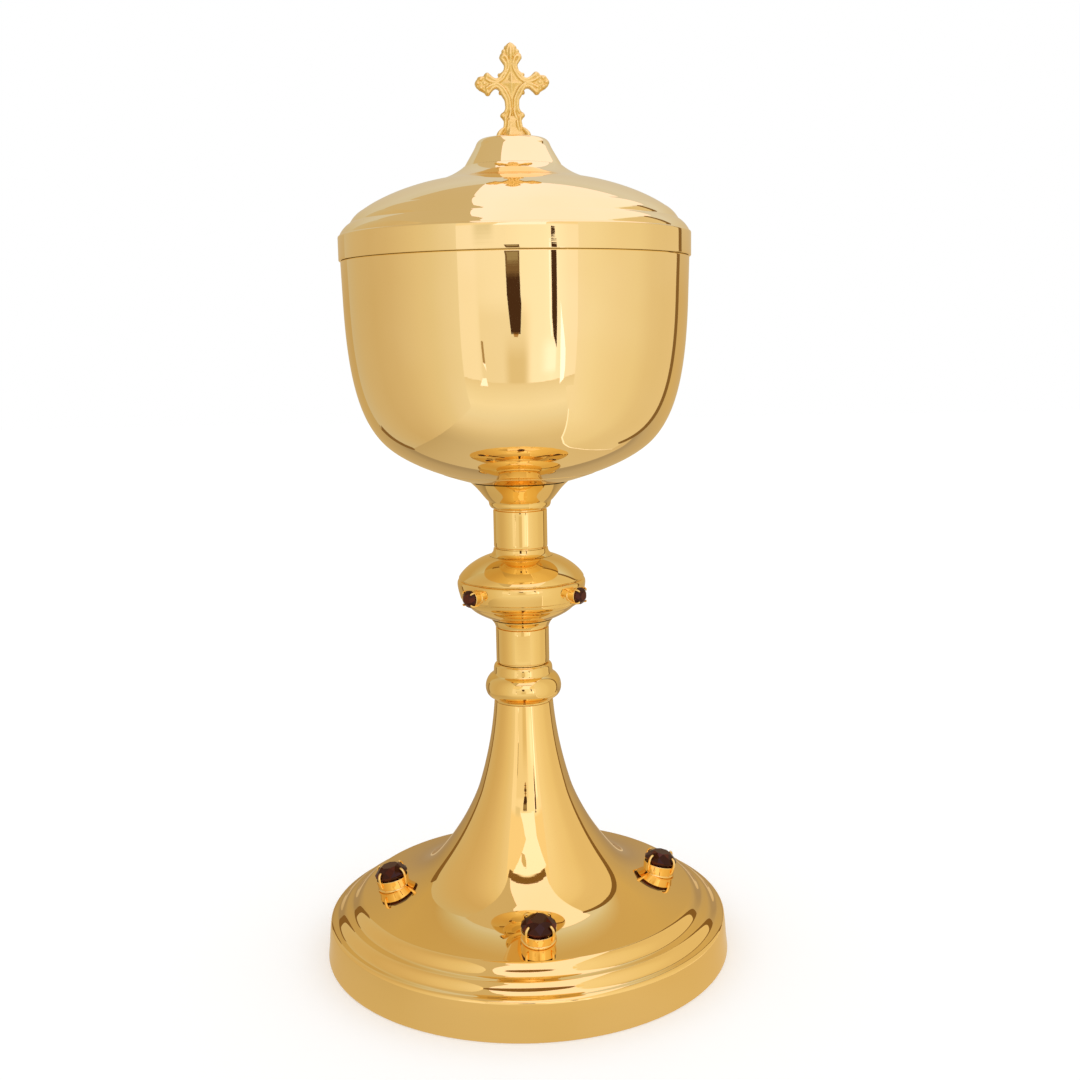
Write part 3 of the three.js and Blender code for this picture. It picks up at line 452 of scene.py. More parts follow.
p = Profile(0.01, 171.5).line(7.0, 171.5, 4).bezier((11, 171.8), (13, 173.3), (17, 174.75), 12)
p.bezier((20.48, 175.68), (24.03, 176.76), (27.46, 177.99), 20).crease().line(27.5, 178.12).crease()
p.bezier((35.87, 181.0), (43.6, 184.91), (48.0, 189.6), 40)
p.bezier((56.1, 198.2), (59.6, 213), (60.2, 240), 70).line(60.55, 252.1, 8).crease()
p.line(60.4, 252.38).line(59.75, 252.45).crease()
p.line(59.75, 258.6, 6).quad((59.75, 259.1), (59.3, 259.1), 5).quad((58.85, 259.1), (58.85, 258.6), 5)
p.line(58.85, 252.0, 6).line(59.35, 240, 6)
p.bezier((58.7, 213.5), (55.3, 199.1), (47.3, 190.4), 40)
p.bezier((41.1, 183.9), (28.6, 178.9), (16.8, 175.7), 30).line(0.01, 172.4, 6)
cup = dress(revolve("cup", p.rounded(0.1), CUP_SIDES), "stand", GOLD_UP, "gilt_brass", "cup_bowl")
line_inside(cup, 1)

# ---------------------------------------------------------------- lid

p = Profile(60.25, 252.53).line(60.8, 252.53).quad((61.15, 252.53), (61.15, 252.85), 5)
p.line(61.15, 260.2, 8).quad((61.15, 260.75), (60.6, 260.95), 6).crease()
p.bulge(56.9, 265.0, 0.42, 16).crease()
p.bulge(52.75, 269.2, 0.42, 16).crease()
p.bezier((46.5, 273.5), (36.6, 277.35), (27, 279.1), 60)
p.bezier((23.5, 279.95), (19.8, 281.7), (17.25, 283.85), 40).crease()
p.line(16.3, 283.85)
p.bezier((19, 281), (23, 279), (27, 278.2), 14).bezier((36.3, 276.4), (46, 272.6), (52.1, 268.4), 24)
p.line(56.2, 264.3, 4).line(59.9, 260.3, 4).line(60.25, 259.6, 2)
lid = dress(revolve("lid", p.rounded(0.16), CUP_SIDES), "lid", GOLD_UP, "gilt_brass", "lid_shell")
line_inside(lid, -1)

p = Profile(16.1, 283.9).line(16.95, 283.9).bezier((15.5, 286.5), (13.6, 289.3), (12.85, 291.1), 40)
p.quad((12.3, 292.6), (11.0, 293.1), 14).quad((10.2, 293.35), (9.3, 293.35), 8).line(2.3, 293.4, 4)
p.line(2.3, 292.5).line(10.4, 292.4).bezier((12.4, 289), (14.4, 286.3), (16.1, 283.9), 16)
dress(revolve("lid_neck", p, KNOP_SIDES), "lid", GOLD_UP, "gilt_brass", "lid_neck")

# ---------------------------------------------------------------- stones and claw settings


def convex(name, points):
    bm = bmesh.new()
    for q in points:
        bm.verts.new(Vector(q) * MM)
    hull = bmesh.ops.convex_hull(bm, input=bm.verts)
    spare = set(hull["geom_interior"] + hull["geom_unused"])
    loose = [g for g in spare if isinstance(g, bmesh.types.BMVert)]
    bmesh.ops.delete(bm, geom=loose, context="VERTS")
    bmesh.ops.dissolve_limit(bm, angle_limit=math.radians(1.0), verts=bm.verts, edges=bm.edges)
    bmesh.ops.recalc_face_normals(bm, faces=bm.faces)
    mesh = bpy.data.meshes.new(name)
    bm.to_mesh(mesh)
    bm.free()
    obj = bpy.data.objects.new(name, mesh)
    scene.collection.objects.link(obj)
    return obj


def brilliant(name, radius, girdle):
    """A round brilliant with its table, star, kite and girdle facets, and a pavilion below."""
    points = []

    def circle(count, share, height, shift):
        for i in range(count):
            a = 2 * math.pi * (i + shift) / count
            points.append((radius * share * math.cos(a), radius * share * math.sin(a), girdle + radius * height))

    circle(8, 0.5, 0.47, 0)
    circle(8, 0.76, 0.3, 0.5)
    circle(16, 1.0, 0.03, 0)
    circle(16, 1.0, -0.04, 0)
    circle(16, 0.9, -0.22, 0)
    points.append((0, 0, girdle - radius * 0.58))
    return convex(name, points)


def sweep(path, radii, sides=14):
    """A round wire along a path of points in the X-Z plane, closed at its ends."""
    verts, faces = [], []
    pts = [Vector(q) for q in path]
    for i, q in enumerate(pts):
        along = (pts[min(i + 1, len(pts) - 1)] - pts[max(i - 1, 0)]).normalized()
        across = Vector((0, 1, 0))
        out = along.cross(across).normalized()
        for k in range(sides):
            a = 2 * math.pi * k / sides
            verts.append((q + (across * math.cos(a) + out * math.sin(a)) * radii[i]) * MM)
    for i in range(len(pts) - 1):
        for k in range(sides):
            m = (k + 1) % sides
            faces.append((i * sides + k, i * sides + m, (i + 1) * sides + m, (i + 1) * sides + k))
    faces.append(tuple(range(sides)))
    faces.append(tuple(reversed(range((len(pts) - 1) * sides, len(pts) * sides))))
    return verts, faces


def setting(name, size, turn_claws):
    """Collet and four claws, standing on Z, in one mesh."""
    radius, heel, collet, girdle, wire = size
    verts, faces = [], []

    def take(v, f, matrix=None):
        base = len(verts)
        verts.extend([(matrix @ Vector(q)) if matrix else Vector(q) for q in v])
        faces.extend([tuple(base + i for i in face) for face in f])

    lip = radius + 0.14
    cup = Profile(heel - 0.75, -0.8).line(heel - 0.05, -0.8).line(heel, -0.05, 2)
    cup.quad((heel + 0.42, 0.02), (heel + 0.4, 0.32), 6).quad((heel + 0.38, 0.62), (heel + 0.02, 0.72), 6).crease()
    cup.quad((heel + (lip - heel) * 0.35, collet * 0.6), (lip - 0.03, collet - 0.35), 10)
    cup.quad((lip + 0.06, collet - 0.05), (lip - 0.14, collet), 5).line(lip - 0.5, collet - 0.02, 2)
    cup.line(lip - 0.62, collet - 0.3).line(heel - 0.75, 0.6, 4)
    sides = 56
    v, f = [], []
    for r, z in cup.points:
        for k in range(sides):
            a = 2 * math.pi * k / sides
            v.append((r * math.cos(a) * MM, r * math.sin(a) * MM, z * MM))
    rows = len(cup.points)
    for i in range(rows):
        j = (i + 1) % rows
        for k in range(sides):
            m = (k + 1) % sides
            f.append((i * sides + k, i * sides + m, j * sides + m, j * sides + k))
    take(v, f)
    for i in range(4):
        claw = Profile(lip - 0.15, collet * 0.42)
        claw.quad((lip + wire * 0.35, collet * 0.6), (lip + wire * 0.3, girdle - 0.3), 8)
        claw.bezier((lip + wire * 0.3, girdle + radius * 0.16), (radius * 0.98, girdle + radius * 0.3),
                    (radius * 0.8, girdle + radius * 0.27 + wire * 0.2), 12)
        count = len(claw.points)
        radii = []
        for k in range(count):
            t = k / (count - 1)
            cap = math.sqrt(max(0.05, 1 - max(0, (t - 0.9) / 0.1) ** 2))
            radii.append(wire * (0.3 + 0.2 * min(1, t * 4) - 0.06 * t) * cap)
        v, f = sweep([(r, 0, z) for r, z in claw.points], radii)
        take(v, f, Matrix.Rotation(math.pi / 2 * i + turn_claws, 4, "Z"))
    obj = mesh_object(name, verts, faces)
    bm = bmesh.new()
    bm.from_mesh(obj.data)
    bmesh.ops.recalc_face_normals(bm, faces=bm.faces)
    bm.to_mesh(obj.data)
    bm.free()
    return sharpen(obj, 38)


def seat_matrix(turn_deg, reach, height, tilt):
    spoke = Matrix.Rotation(math.radians(turn_deg), 4, "Z")
    place = Matrix.Translation(Vector((0, -reach, height)) * MM)
    return spoke @ place @ Matrix.Rotation(tilt, 4, "X")


# Radius of the stone, of the heel, height of the collet and of the girdle, and width of a claw, in mm
FOOT_STONE = (6.1, 5.75, 4.0, 5.35, 1.05)
KNOP_STONE = (3.03, 2.2, 4.1, 4.75, 0.72)
# Distance of a seat from the axis, its height, and its tilt out of the level
FOOT_SEAT = (49.8, 24.1, math.radians(11.5))
KNOP_SEAT = (22.4, 135.9, math.radians(90.5))
# Degrees of the seats round the axis, and of the claws round each stone
FOOT_TURNS, FOOT_CLAWS = (4, 94, 184, 274), (45, 40, 45, 50)
KNOP_TURNS, KNOP_CLAWS = (49.4, 139, 229, 317.3), (45, 45, 45, 45)
FAMILIES = (
    ("foot", FOOT_STONE, FOOT_SEAT, FOOT_TURNS, FOOT_CLAWS),
    ("knop", KNOP_STONE, KNOP_SEAT, KNOP_TURNS, KNOP_CLAWS),
)
for i in range(4):
    for family, sizes, seat, turns, claws in FAMILIES:
        metal = setting(f"{family}_claws_{i + 1}", sizes, math.radians(claws[i]))
        stone = brilliant(f"{family}_stone_{i + 1}", sizes[0], sizes[3])
        for piece in (metal, stone):
            piece.data.transform(seat_matrix(turns[i], *seat))
        dress(metal, "stand", GOLD_CLAW, "gilt_brass", f"{family}_setting_{i + 1}")
        dress(stone, "stand", GARNET, "garnet", f"{family}_garnet_{i + 1}")

# ---------------------------------------------------------------- finial cross

# Height of its foot, and of its crossing (C) above that foot, which the places below are measured from
CROSS_FOOT = 293.3
C = 18.3
CAST_DETAIL = 0.00015

# Right half of its outline, from the tip of the top leaf down to the foot
EDGE_TOP = [
    (0, 31.8), (1.1, 31.2), (1.75, 30.3), (1.95, 29.8), (2.6, 29.2), (2.75, 28.6), (3.6, 27.7), (3.75, 26.9),
    (3.4, 26.1), (2.6, 25.4), (2.3, 24.6), (2.35, 23.5), (2.65, 22.5), (3.4, 21.9), (4.1, 21.1), (4.4, 20.25),
    (5.2, C + 1.6), (6.2, C + 2.05),
]
EDGE_ARM = [
    (7.0, C + 2.9), (7.6, C + 3.5), (8.3, C + 3.7), (9.1, C + 3.25), (9.5, C + 2.55), (10.5, C + 2.5),
    (11.45, C + 2.2), (11.9, C + 1.4), (12.5, C + 0.65), (12.55, C - 0.2), (12.1, C - 1.1), (11.2, C - 1.9),
    (10.15, C - 2.5), (9.3, C - 2.95), (8.8, C - 3.8), (7.95, C - 3.85), (7.2, C - 3.1), (6.5, C - 1.95),
    (5.4, C - 1.5), (4.6, C - 1.8), (4.05, C - 2.5),
]
EDGE_LOW = [
    (3.75, C - 3.4), (2.95, C - 4.3), (2.45, C - 5.4), (2.4, 11.5), (2.4, 10.0), (3.0, 9.0), (3.8, 8.5),
    (4.15, 7.7), (3.6, 6.8), (3.1, 6.1), (3.1, 4.8), (3.5, 3.5), (4.2, 2.5), (5.0, 1.2), (5.5, 0.25),
    (5.5, -0.2),
]


def blob(bm, x, z, hx, hz, hy, turn=0.0, y=0.0):
    """An egg-shaped lump of the casting, turned in the plane of the cross."""
    made = bmesh.ops.create_icosphere(bm, subdivisions=3 if max(hx, hz) > 0.7 else 2, radius=1.0)
    m = Matrix.Translation(Vector((x, y, z))) @ Matrix.Rotation(math.radians(-turn), 4, "Y")
    m = m @ Matrix.Diagonal(Vector((hx, hy, hz, 1.0)))
    bmesh.ops.transform(bm, matrix=m, verts=made["verts"])


def rod(bm, path, radii, sides=12):
    """A moulding that follows a path of (x, y, z) points, drawn as a smooth curve."""
    knots = [Vector(q) for q in path]
    pts, sizes = [], []
    many = radii if isinstance(radii, (list, tuple)) else [radii] * len(knots)
    for i in range(len(knots) - 1):
        a, b = knots[max(i - 1, 0)], knots[min(i + 2, len(knots) - 1)]
        for k in range(5):
            t = k / 5
            q = 0.5 * (2 * knots[i] + (knots[i + 1] - a) * t + (2 * a - 5 * knots[i] + 4 * knots[i + 1] - b) * t * t
                       + (3 * knots[i] - a - 3 * knots[i + 1] + b) * t * t * t)
            pts.append(q)
            sizes.append(many[i] * (1 - t) + many[i + 1] * t)
    pts.append(knots[-1])
    sizes.append(many[-1])
    rings = []
    for i, q in enumerate(pts):
        along = (pts[min(i + 1, len(pts) - 1)] - pts[max(i - 1, 0)]).normalized()
        out = along.cross(Vector((0, 1, 0))).normalized()
        deep = out.cross(along)
        ring = []
        for k in range(sides):
            a = 2 * math.pi * k / sides
            ring.append(bm.verts.new(q + (out * math.cos(a) + deep * math.sin(a)) * sizes[i]))
        rings.append(ring)
    for a, b in zip(rings, rings[1:]):
        for k in range(sides):
            m = (k + 1) % sides
            bm.faces.new((a[k], a[m], b[m], b[k]))
    bm.faces.new(tuple(reversed(rings[0])))
    bm.faces.new(tuple(rings[-1]))
    for q, r in ((pts[0], sizes[0]), (pts[-1], sizes[-1])):
        blob(bm, q.x, q.z, r, r, r, 0, q.y)


def plate(bm, outline, depth, inset=0.0):
    """A flat layer of the casting from an outline of (x, z) points, drawn in by the inset."""
    count = len(outline)
    moved = []
    for k in range(count):
        a, q, b = (Vector(outline[(k + d) % count]) for d in (-1, 0, 1))
        side = ((q - a).normalized() + (b - q).normalized()).normalized()
        moved.append(q + Vector((side.y, -side.x)) * inset)
    front = [bm.verts.new((q.x, -depth / 2, q.y)) for q in moved]
    back = [bm.verts.new((q.x, depth / 2, q.y)) for q in moved]
    bm.faces.new(front)
    bm.faces.new(tuple(reversed(back)))
    for k in range(count):
        m = (k + 1) % count
        bm.faces.new((front[m], front[k], back[k], back[m]))


def cone_between(bm, base, apex):
    """A shallow pyramid over an outline of 3-D points."""
    ring = [bm.verts.new(q) for q in base]
    tip = bm.verts.new(apex)
    for k in range(len(ring)):
        bm.faces.new((ring[k], ring[(k + 1) % len(ring)], tip))
    bm.faces.new(tuple(reversed(ring)))


bm = bmesh.new()
half = EDGE_TOP + EDGE_ARM + EDGE_LOW
whole = half + [(-x, z) for x, z in reversed(half[1:])]
plate(bm, whole, 1.9)
plate(bm, whole, 2.7, 0.38)
for y in (-1, 1):
    for side in (-1, 1):
        def line_of(points, depth, r):
            rod(bm, [(side * x, y * depth, z) for x, z in points], r)

        # Two mouldings round each scallop, from the arm to the upright
        line_of([
            (8.1, C - 3.0), (7.2, C - 2.1), (6.3, C - 1.25), (5.3, C - 1.0), (4.3, C - 1.4), (3.5, C - 2.5),
            (2.9, C - 3.7), (2.15, C - 4.9), (1.85, 12.0), (1.85, 10.0), (2.4, 8.8),
        ], 1.2, 0.6)
        line_of([
            (8.6, C - 1.5), (6.9, C - 0.55), (5.2, C - 0.2), (3.9, C - 0.7), (2.7, C - 1.8), (1.8, C - 3.3),
            (1.05, C - 5.0), (0.8, 11.6), (0.85, 9.6), (0.6, 8.4),
        ], 1.35, 0.5)
        line_of([
            (8.2, C + 2.9), (7.2, C + 2.1), (6.2, C + 1.4), (5.1, C + 1.1), (4.0, C + 1.6), (3.2, C + 2.7),
            (2.3, C + 3.7), (1.8, C + 5.0), (1.8, C + 6.3), (2.5, C + 7.5), (3.1, C + 8.3),
        ], 1.2, 0.6)
        line_of([
            (8.6, C + 1.5), (6.9, C + 0.55), (5.2, C + 0.25), (3.9, C + 0.75), (2.7, C + 1.8), (1.75, C + 3.2),
            (0.9, C + 4.8), (0.7, C + 6.2), (0.8, C + 7.2),
        ], 1.35, 0.5)
        # Folds of the top leaf, which curl out over the scrolls
        line_of([(0.9, C + 6.6), (1.3, C + 8.2), (2.2, C + 9.0), (3.0, C + 8.5)], 1.45, [0.4, 0.5, 0.5, 0.4])
        line_of([(0.8, 27.4), (1.1, 29.0), (0.6, 30.6)], 1.4, [0.45, 0.5, 0.35])
        # Strokes of the leaf on the shaft, and the edge of the pedestal
        line_of([(1.35, 6.6), (0.8, 8.2), (0.4, 10.0)], 1.55, [0.55, 0.5, 0.25])
        line_of([(1.5, 5.6), (1.7, 3.8), (2.2, 2.4)], 2.35, [0.45, 0.55, 0.4])
        line_of([(2.5, 7.0), (2.6, 5.2), (3.0, 3.4), (3.9, 1.9), (4.9, 0.9)], 1.9, [0.5, 0.5, 0.5, 0.6, 0.7])
    # Star over the crossing: four points and a ridge down its middle
    star = [(4.6, 0), (1.5, 1.4), (0, 4.9), (-1.5, 1.4), (-4.6, 0), (-1.5, -1.5), (0, -5.3), (1.5, -1.5)]
    points = [(x, y * 1.15, C + z) for x, z in star]
    cone_between(bm, points if y > 0 else points[::-1], (0, y * 2.15, C))
    ridge = [(0, y * 1.2, C + 4.0), (0, y * 1.3, C + 7.0), (0, y * 1.65, 28.0), (0, y * 1.1, 31.0)]
    rod(bm, ridge, [0.3, 0.35, 0.75, 0.45])
    # Corner leaves of the pedestal
    for side in (-1, 1):
        leaf = [(side * 3.4, y * 2.3, 3.2), (side * 4.3, y * 2.7, 2.2), (side * 4.9, y * 3.1, 1.3)]
        rod(bm, leaf, [0.45, 0.75, 0.85])
        blob(bm, side * 5.1, 0.75, 0.9, 0.75, 0.9, side * 20, y * 3.2)
for side in (-1, 1):
    # Cusps between the scallops
    blob(bm, side * 3.7, C - 2.9, 0.75, 0.95, 1.45, side * 40)
    blob(bm, side * 3.85, C + 2.75, 0.85, 0.75, 1.45, side * 40)
    # Lobes of the arm buds
    blob(bm, side * 8.25, C + 2.5, 1.1, 1.35, 1.75, side * 12)
    blob(bm, side * 8.3, C - 2.65, 1.1, 1.35, 1.75, -side * 12)
    blob(bm, side * 10.45, C + 1.5, 1.3, 0.95, 1.9, -side * 22)
    blob(bm, side * 10.45, C - 1.35, 1.3, 0.95, 1.9, side * 22)
    blob(bm, side * 11.4, C + 0.1, 1.25, 0.7, 1.95, 0)
    blob(bm, side * 9.2, C + 0.05, 1.2, 0.8, 1.75, 0)
    # Scrolls and stepped tips of the top leaf
    blob(bm, side * 2.85, 26.85, 1.05, 1.0, 1.7, 0)
    blob(bm, side * 2.15, 28.7, 0.95, 0.85, 1.55, side * 30)
    blob(bm, side * 1.45, 30.0, 0.75, 0.85, 1.4, side * 20)
    # Buds on the shaft
    blob(bm, side * 3.45, 7.75, 0.85, 0.85, 1.5, side * 30)
blob(bm, 0, 30.4, 0.95, 1.35, 1.3)
# Pedestal: four faces that spread towards the foot, set a little askew, with a ridge between them
levels = [
    (-0.2, 5.4, 4.1), (0.5, 5.2, 3.9), (1.2, 4.6, 3.4), (2.4, 3.85, 2.85), (3.6, 3.3, 2.5), (5.2, 3.0, 2.3),
    (6.4, 3.0, 2.1), (7.4, 2.4, 1.6),
]
rings = []
for z, w, d in levels:
    plan = [(w, 0), (w * 0.8, -d * 0.8), (-w * 0.3, -d * 1.15), (-w * 0.82, -d * 0.72)]
    plan += [(-x, -y) for x, y in plan]
    rings.append([bm.verts.new((x, y, z)) for x, y in plan])
for a, b in zip(rings, rings[1:]):
    for k in range(8):
        m = (k + 1) % 8
        bm.faces.new((a[k], a[m], b[m], b[k]))
bm.faces.new(tuple(reversed(rings[0])))
bm.faces.new(tuple(rings[-1]))
for v in bm.verts:
    if v.co.x > 5 and abs(v.co.z - C) < 4.5:
        v.co.x += 0.45 * min(1, (v.co.x - 5) / 4)
bmesh.ops.recalc_face_normals(bm, faces=bm.faces)
mesh = bpy.data.meshes.new("cross")
bm.to_mesh(mesh)
bm.free()
cross = bpy.data.objects.new("cross", mesh)
scene.collection.objects.link(cross)
cross.data.transform(Matrix.Scale(MM, 4))
remesh = cross.modifiers.new("cast", "REMESH")
remesh.mode = "VOXEL"
remesh.voxel_size = CAST_DETAIL
soften = cross.modifiers.new("soften", "SMOOTH")
soften.factor = 0.5
soften.iterations = 8
depsgraph = bpy.context.evaluated_depsgraph_get()
cast_mesh = bpy.data.meshes.new_from_object(cross.evaluated_get(depsgraph))
cross.modifiers.clear()
cross.data = cast_mesh
cast_mesh.polygons.foreach_set("use_smooth", [True] * len(cast_mesh.polygons))
# It was fitted, and leans a little
lean = Matrix.Rotation(math.radians(3), 4, "Z") @ Matrix.Rotation(math.radians(-1), 4, "Y")
cross.data.transform(Matrix.Translation(Vector((0.2, 0, CROSS_FOOT)) * MM) @ lean)
dress(cross, "lid", CAST, "cast_gilt", "finial_cross")

# ---------------------------------------------------------------- pieces kept from the frame

for node in ("tie_rod", "tie_rod_nut", "tie_rod_washer", "foot_clamp_disc", "finial_washer", "finial_nut"):
    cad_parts[node].data.materials.clear()
    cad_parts[node].data.materials.append(STEEL)

# ---------------------------------------------------------------- room

world = bpy.data.worlds.new("room")
scene.world = world
world.use_nodes = True
n = Nodes(world.node_tree)
out = n.add("ShaderNodeOutputWorld")
plain = n.add("ShaderNodeBackground")
plain.inputs["Color"].default_value = rgb(1, 1, 1)
plain.inputs["Strength"].default_value = 1.0
n.link(plain.outputs[0], out.inputs["Surface"])


def ramp(n, value, stops):
    """Colours between named places along a line, given in mm."""
    low, high = stops[0][0], stops[-1][0]
    span = n.add("ShaderNodeMapRange")
    n.link(value, span.inputs["Value"])
    span.inputs["From Min"].default_value = low * MM
    span.inputs["From Max"].default_value = high * MM
    node = n.add("ShaderNodeValToRGB")
    n.link(span.outputs[0], node.inputs["Fac"])
    node.color_ramp.interpolation = "LINEAR"
    while len(node.color_ramp.elements) < len(stops):
        node.color_ramp.elements.new(0.5)
    for element, (place, colour) in zip(node.color_ramp.elements, stops):
        element.position = (place - low) / (high - low)
        element.color = warm(*colour)
    return node.outputs["Color"]


def place_nodes(n):
    where = n.add("ShaderNodeSeparateXYZ")
    n.link(n.add("ShaderNodeNewGeometry").outputs["Position"], where.inputs[0])
    return where.outputs


# The tray of the light tent: a pale floor that keeps the shadow. In the metal it mirrors as painted light: brighter
# towards the front, dimmer to the left and back, and warm and dim near the foot as painted shade and gold light.
floor = mesh_object("floor", [(-3, -3, 0), (3, -3, 0), (3, 3, 0), (-3, 3, 0)], [(0, 1, 2, 3)], False)
material, n = new_material("floor")
path = n.add("ShaderNodeLightPath")
out = n.add("ShaderNodeOutputMaterial")
diffuse = n.add("ShaderNodeBsdfDiffuse")
diffuse.inputs["Color"].default_value = rgb(0.86, 0.86, 0.86)
seen = n.add("ShaderNodeEmission")
seen.inputs["Color"].default_value = rgb(1, 1, 1)
seen.inputs["Strength"].default_value = 0.2
total = n.add("ShaderNodeAddShader")
n.link(diffuse.outputs[0], total.inputs[0])
n.link(seen.outputs[0], total.inputs[1])
# Painted light for glossy rays: the floor's emission is brighter in front, dimmer to the left and back, and warm and
# dim by the foot.
mirrored = n.add("ShaderNodeEmission")
px, py, pz = place_nodes(n)
FLOOR_X = [(-190, (0.56, 0.48, 0.33)), (-60, (0.66, 0.59, 0.43)), (60, (0.74, 0.66, 0.48)), (190, (0.72, 0.61, 0.41))]
FLOOR_Y = [(-530, (0.88, 0.82, 0.66)), (-430, (0.93, 0.9, 0.76)), (-330, (0.98, 0.96, 0.84)), (-250, (0.9, 0.88, 0.76))]
FLOOR_Y += [(-190, (0.86, 0.8, 0.64)), (-120, (0.81, 0.73, 0.53))]
across, along = ramp(n, px, FLOOR_X), ramp(n, py, FLOOR_Y)
n.link(n.mix(n.smooth(py, -0.05, -0.2), across, along), mirrored.inputs["Color"])
swap = n.add("ShaderNodeMixShader")
n.link(path.outputs["Is Glossy Ray"], swap.inputs[0])
n.link(total.outputs[0], swap.inputs[1])
n.link(mirrored.outputs[0], swap.inputs[2])
n.link(swap.outputs[0], out.inputs["Surface"])
floor.data.materials.append(material)


def card(name, corners, colour, faces=None):
    """A surface of the light tent that only polished metal sees. The colour is one, or an axis with stops in mm."""
    obj = mesh_object(name, [Vector(q) * MM for q in corners], faces or [tuple(range(len(corners)))], False)
    material, n = new_material(name)
    out = n.add("ShaderNodeOutputMaterial")
    glow = n.add("ShaderNodeEmission")
    if callable(colour):
        n.link(colour(n), glow.inputs["Color"])
    elif isinstance(colour, dict):
        (axis, stops), = colour.items()
        n.link(ramp(n, place_nodes(n)["xyz".index(axis)], stops), glow.inputs["Color"])
    else:
        glow.inputs["Color"].default_value = warm(*colour)
    n.link(glow.outputs[0], out.inputs["Surface"])
    obj.data.materials.append(material)
    obj.visible_camera = False
    obj.visible_diffuse = False
    obj.visible_shadow = False
    obj.visible_transmission = False
    return obj


def wall_x(name, x, y0, y1, z0, z1, colour):
    return card(name, [(x, y0, z0), (x, y1, z0), (x, y1, z1), (x, y0, z1)], colour)


def wall_y(name, y, x0, x1, z0, z1, colour):
    return card(name, [(x0, y, z0), (x1, y, z0), (x1, y, z1), (x0, y, z1)], colour)


def roof_z(name, z, corners, colour):
    return card(name, [(x, y, z) for x, y in corners], colour)


def post(name, x, y, radius, z0, z1, colour):
    """A round pole of the tent's frame."""
    ring = [(x + radius * math.cos(math.pi * k / 4), y + radius * math.sin(math.pi * k / 4)) for k in range(8)]
    corners = [(a, b, z0) for a, b in ring] + [(a, b, z1) for a, b in ring]
    faces = [(k, (k + 1) % 8, 8 + (k + 1) % 8, 8 + k) for k in range(8)]
    return card(name, corners, colour, faces)


def front_colour(n):
    """The open front of the tent: bright, with a soft darker figure low in its middle."""
    x, y, z = place_nodes(n)
    stops = [(-600, (1.0, 0.98, 0.92)), (-250, (1.03, 1.02, 0.98)), (-215, (1.0, 0.99, 0.92))]
    stops += [(-60, (1.03, 1.03, 0.98)), (40, (1.1, 1.1, 1.08)), (160, (1.14, 1.12, 1.12)), (220, (1.2, 1.18, 1.2))]
    stops += [(330, (1.08, 1.06, 1.04)), (600, (1.02, 1.0, 0.96))]
    base = ramp(n, x, stops)
    low = n.smooth(z, 0.235, 0.18)
    wide = n.multiply(n.smooth(x, -0.232, -0.212), n.smooth(x, 0.1, 0.03))
    base = n.mix(n.multiply(low, wide), base, warm(0.94, 0.91, 0.8))
    narrow = n.multiply(n.smooth(x, -0.09, -0.03), n.smooth(x, 0.085, 0.03))
    base = n.mix(n.multiply(n.smooth(z, 0.17, 0.08), narrow), base, warm(0.8, 0.72, 0.52))
    side = n.multiply(n.smooth(x, 0.12, 0.21), n.smooth(x, 0.25, 0.235))
    side = n.multiply(side, n.multiply(n.smooth(z, 0.16, 0.11), n.smooth(z, 0.02, 0.06)))
    base = n.mix(side, base, warm(1.35, 1.32, 1.5))
    patch = n.multiply(n.smooth(x, -0.27, -0.2), n.smooth(x, -0.1, -0.15))
    high = n.multiply(n.smooth(z, 0.285, 0.3), patch)
    base = n.mix(high, base, warm(0.84, 0.82, 0.7))
    return n.mix(n.smooth(z, 0.31, 0.35), base, warm(1.0, 0.92, 0.72))


def front_piece(name, places, colour, y=-480):
    return card(name, [(x, y, z) for x, z in places], colour)


BRIGHT = (1.22, 1.16, 1.42)
LEFT = [(-290, (0.9, 0.87, 0.74)), (-215, (0.86, 0.81, 0.66)), (-170, (0.82, 0.76, 0.57)), (-130, (0.8, 0.72, 0.52))]
LEFT += [(-50, (0.7, 0.6, 0.41)), (0, (0.66, 0.56, 0.37)), (60, (0.66, 0.58, 0.41)), (140, (0.64, 0.61, 0.5))]
RIGHT = [(-262, (0.98, 0.95, 0.84)), (-190, (0.96, 0.93, 0.78)), (-110, (0.91, 0.85, 0.67)), (-60, (0.88, 0.82, 0.62))]
RIGHT += [(-20, (0.82, 0.74, 0.54)), (20, (0.8, 0.72, 0.52)), (80, (0.81, 0.73, 0.53))]


def back_colour(n):
    """The back of the tent: warm and dim down by the foot, pale and cool higher up."""
    x, y, z = place_nodes(n)
    stops = [(20, (0.42, 0.36, 0.27)), (60, (0.52, 0.45, 0.32)), (160, (0.63, 0.52, 0.29)), (240, (0.62, 0.51, 0.3))]
    base = ramp(n, z, stops + [(330, (0.68, 0.68, 0.6)), (395, (0.72, 0.78, 0.86))])
    side = ramp(n, x, [(-190, (0.94, 1.01, 1.04)), (0, (1, 1.09, 1.16)), (190, (1.06, 1.16, 1.28))])
    return n.mix(1.0, base, side, "MULTIPLY")


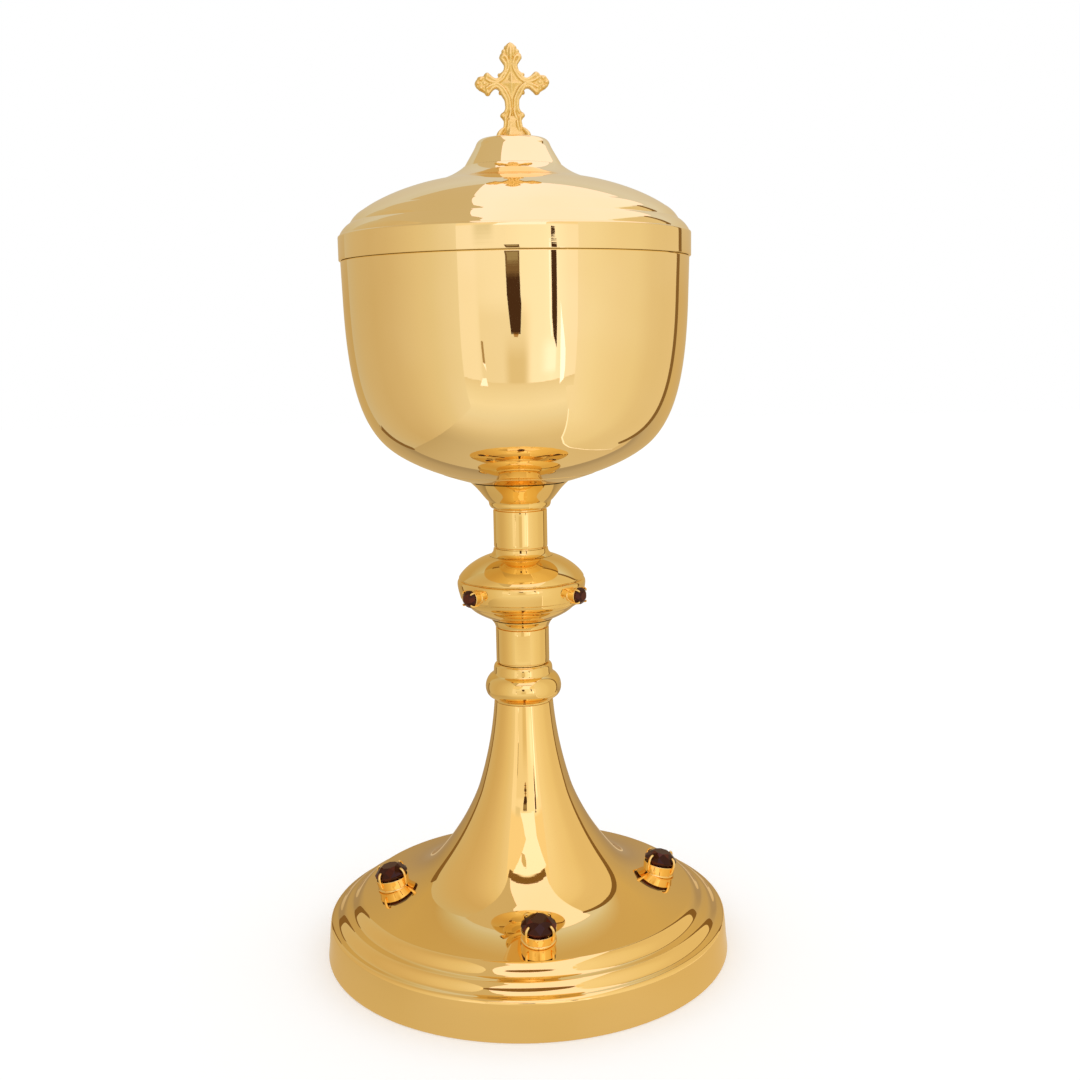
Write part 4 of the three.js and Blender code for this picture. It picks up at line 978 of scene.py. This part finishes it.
wall_x("left_wall", -190, -290, 145, -1, 760, {"y": LEFT})
wall_x("right_wall", 190, -262, 85, -1, 430, {"y": RIGHT})
wall_y("back_wall", 150, -200, 330, -1, 700, back_colour)
wall_y("front_light", -535, -600, 600, -1, 900, front_colour)
ROOF_EDGE = [(-26, 150), (-34, 96), (-50, 0), (-66, -85), (-56, -128), (-94, -204), (-133, -262), (-175, -330)]
roof_z("roof_bright", 440, ROOF_EDGE + [(190, -330), (190, 150)], BRIGHT)
roof_z("roof_left", 441, ROOF_EDGE + [(-190, -330), (-190, 150)], (0.65, 0.585, 0.44))
BAR = (0.24, 0.15, 0.06)
post("post_right", 196, 96, 14, -1, 432, BAR)
post("post_left", -186, 140, 12, 8, 116, BAR)
roof_z("front_bar", 439, [(-190, -341), (190, -341), (190, -313), (-190, -313)], (0.24, 0.14, 0.05))
DARK = (0.07, 0.035, 0.02)
GLINT = (1.4, 1.35, 1.6)
front_piece("camera_top", [(-54, 278), (20, 278), (20, 238), (-47, 238)], (0.2, 0.13, 0.07))
front_piece("camera_screen", [(-46, 272), (13, 272), (13, 247), (-39, 247)], (0.36, 0.3, 0.19), -479)
front_piece("camera_body", [(-47, 240), (20, 240), (27, 217), (20, 166), (-27, 166), (-40, 217)], DARK)
front_piece("camera_foot", [(-18, 167), (13, 167), (6, 160), (-12, 160)], (0.45, 0.25, 0.08))
WINDOW = [
    (-120, 312), (-60, 370), (-8, 434), (-60, 500), (-150, 600), (-235, 683), (350, 683), (270, 560),
    (195, 434), (175, 312),
]
front_piece("window", WINDOW, (1.3, 1.3, 1.6), -534)
MARK = [(-90, 527), (-38, 535), (-12, 580), (-12, 622), (-58, 618), (-90, 582)]
front_piece("window_mark", MARK, (0.72, 0.62, 0.42), -533)
front_piece("slit", [(185, 286), (217, 286), (218, 235), (219, 128), (198, 156), (187, 195)], DARK)
front_piece("slit_rim", [(172, 286), (182, 286), (183, 195), (192, 156), (184, 156), (173, 195)], GLINT)
front_piece("slit_top", [(184, 295.5), (203, 295.5), (209, 293), (208, 290.5), (188, 287.5), (184, 289)], DARK)
BRIGHT_FOLD = [(241, 219), (250, 194), (269, 153), (280, 118), (284, 64), (280, 18), (254, 2), (243, 141)]
front_piece("bright_fold", BRIGHT_FOLD, (1.6, 1.55, 2.0))
front_piece("small_mark", [(-193, 147), (-180, 146), (-174, 90), (-188, 92)], (0.45, 0.33, 0.18))
front_piece("small_glint", [(-188, 92), (-174, 90), (-170, 66)], GLINT)
front_piece("corner_glint", [(-199, 36), (-175, 39), (-169, 6), (-219, 2)], GLINT)
# A fold of cloth lies along the right wall, with a bright rim
FOLD = [
    (273, -433), (226, -343), (193, -267), (168, -225), (123, -151), (93, -102), (85, -62), (88, -31),
    (102, -1), (115, 31), (150, 110),
]
cloth = [(x, y, 2) for x, y in FOLD] + [(320, 110, 2), (320, -433, 2)]
card("cloth_fold", cloth, {"y": [(-433, (0.98, 0.95, 0.84))] + RIGHT[1:]})
rim = [(x, y, 2.5) for x, y in FOLD[2:]] + [(x + 3.5, y + 1.5, 2.5) for x, y in reversed(FOLD[2:])]
card("fold_rim", rim, (1.3, 1.25, 1.3))
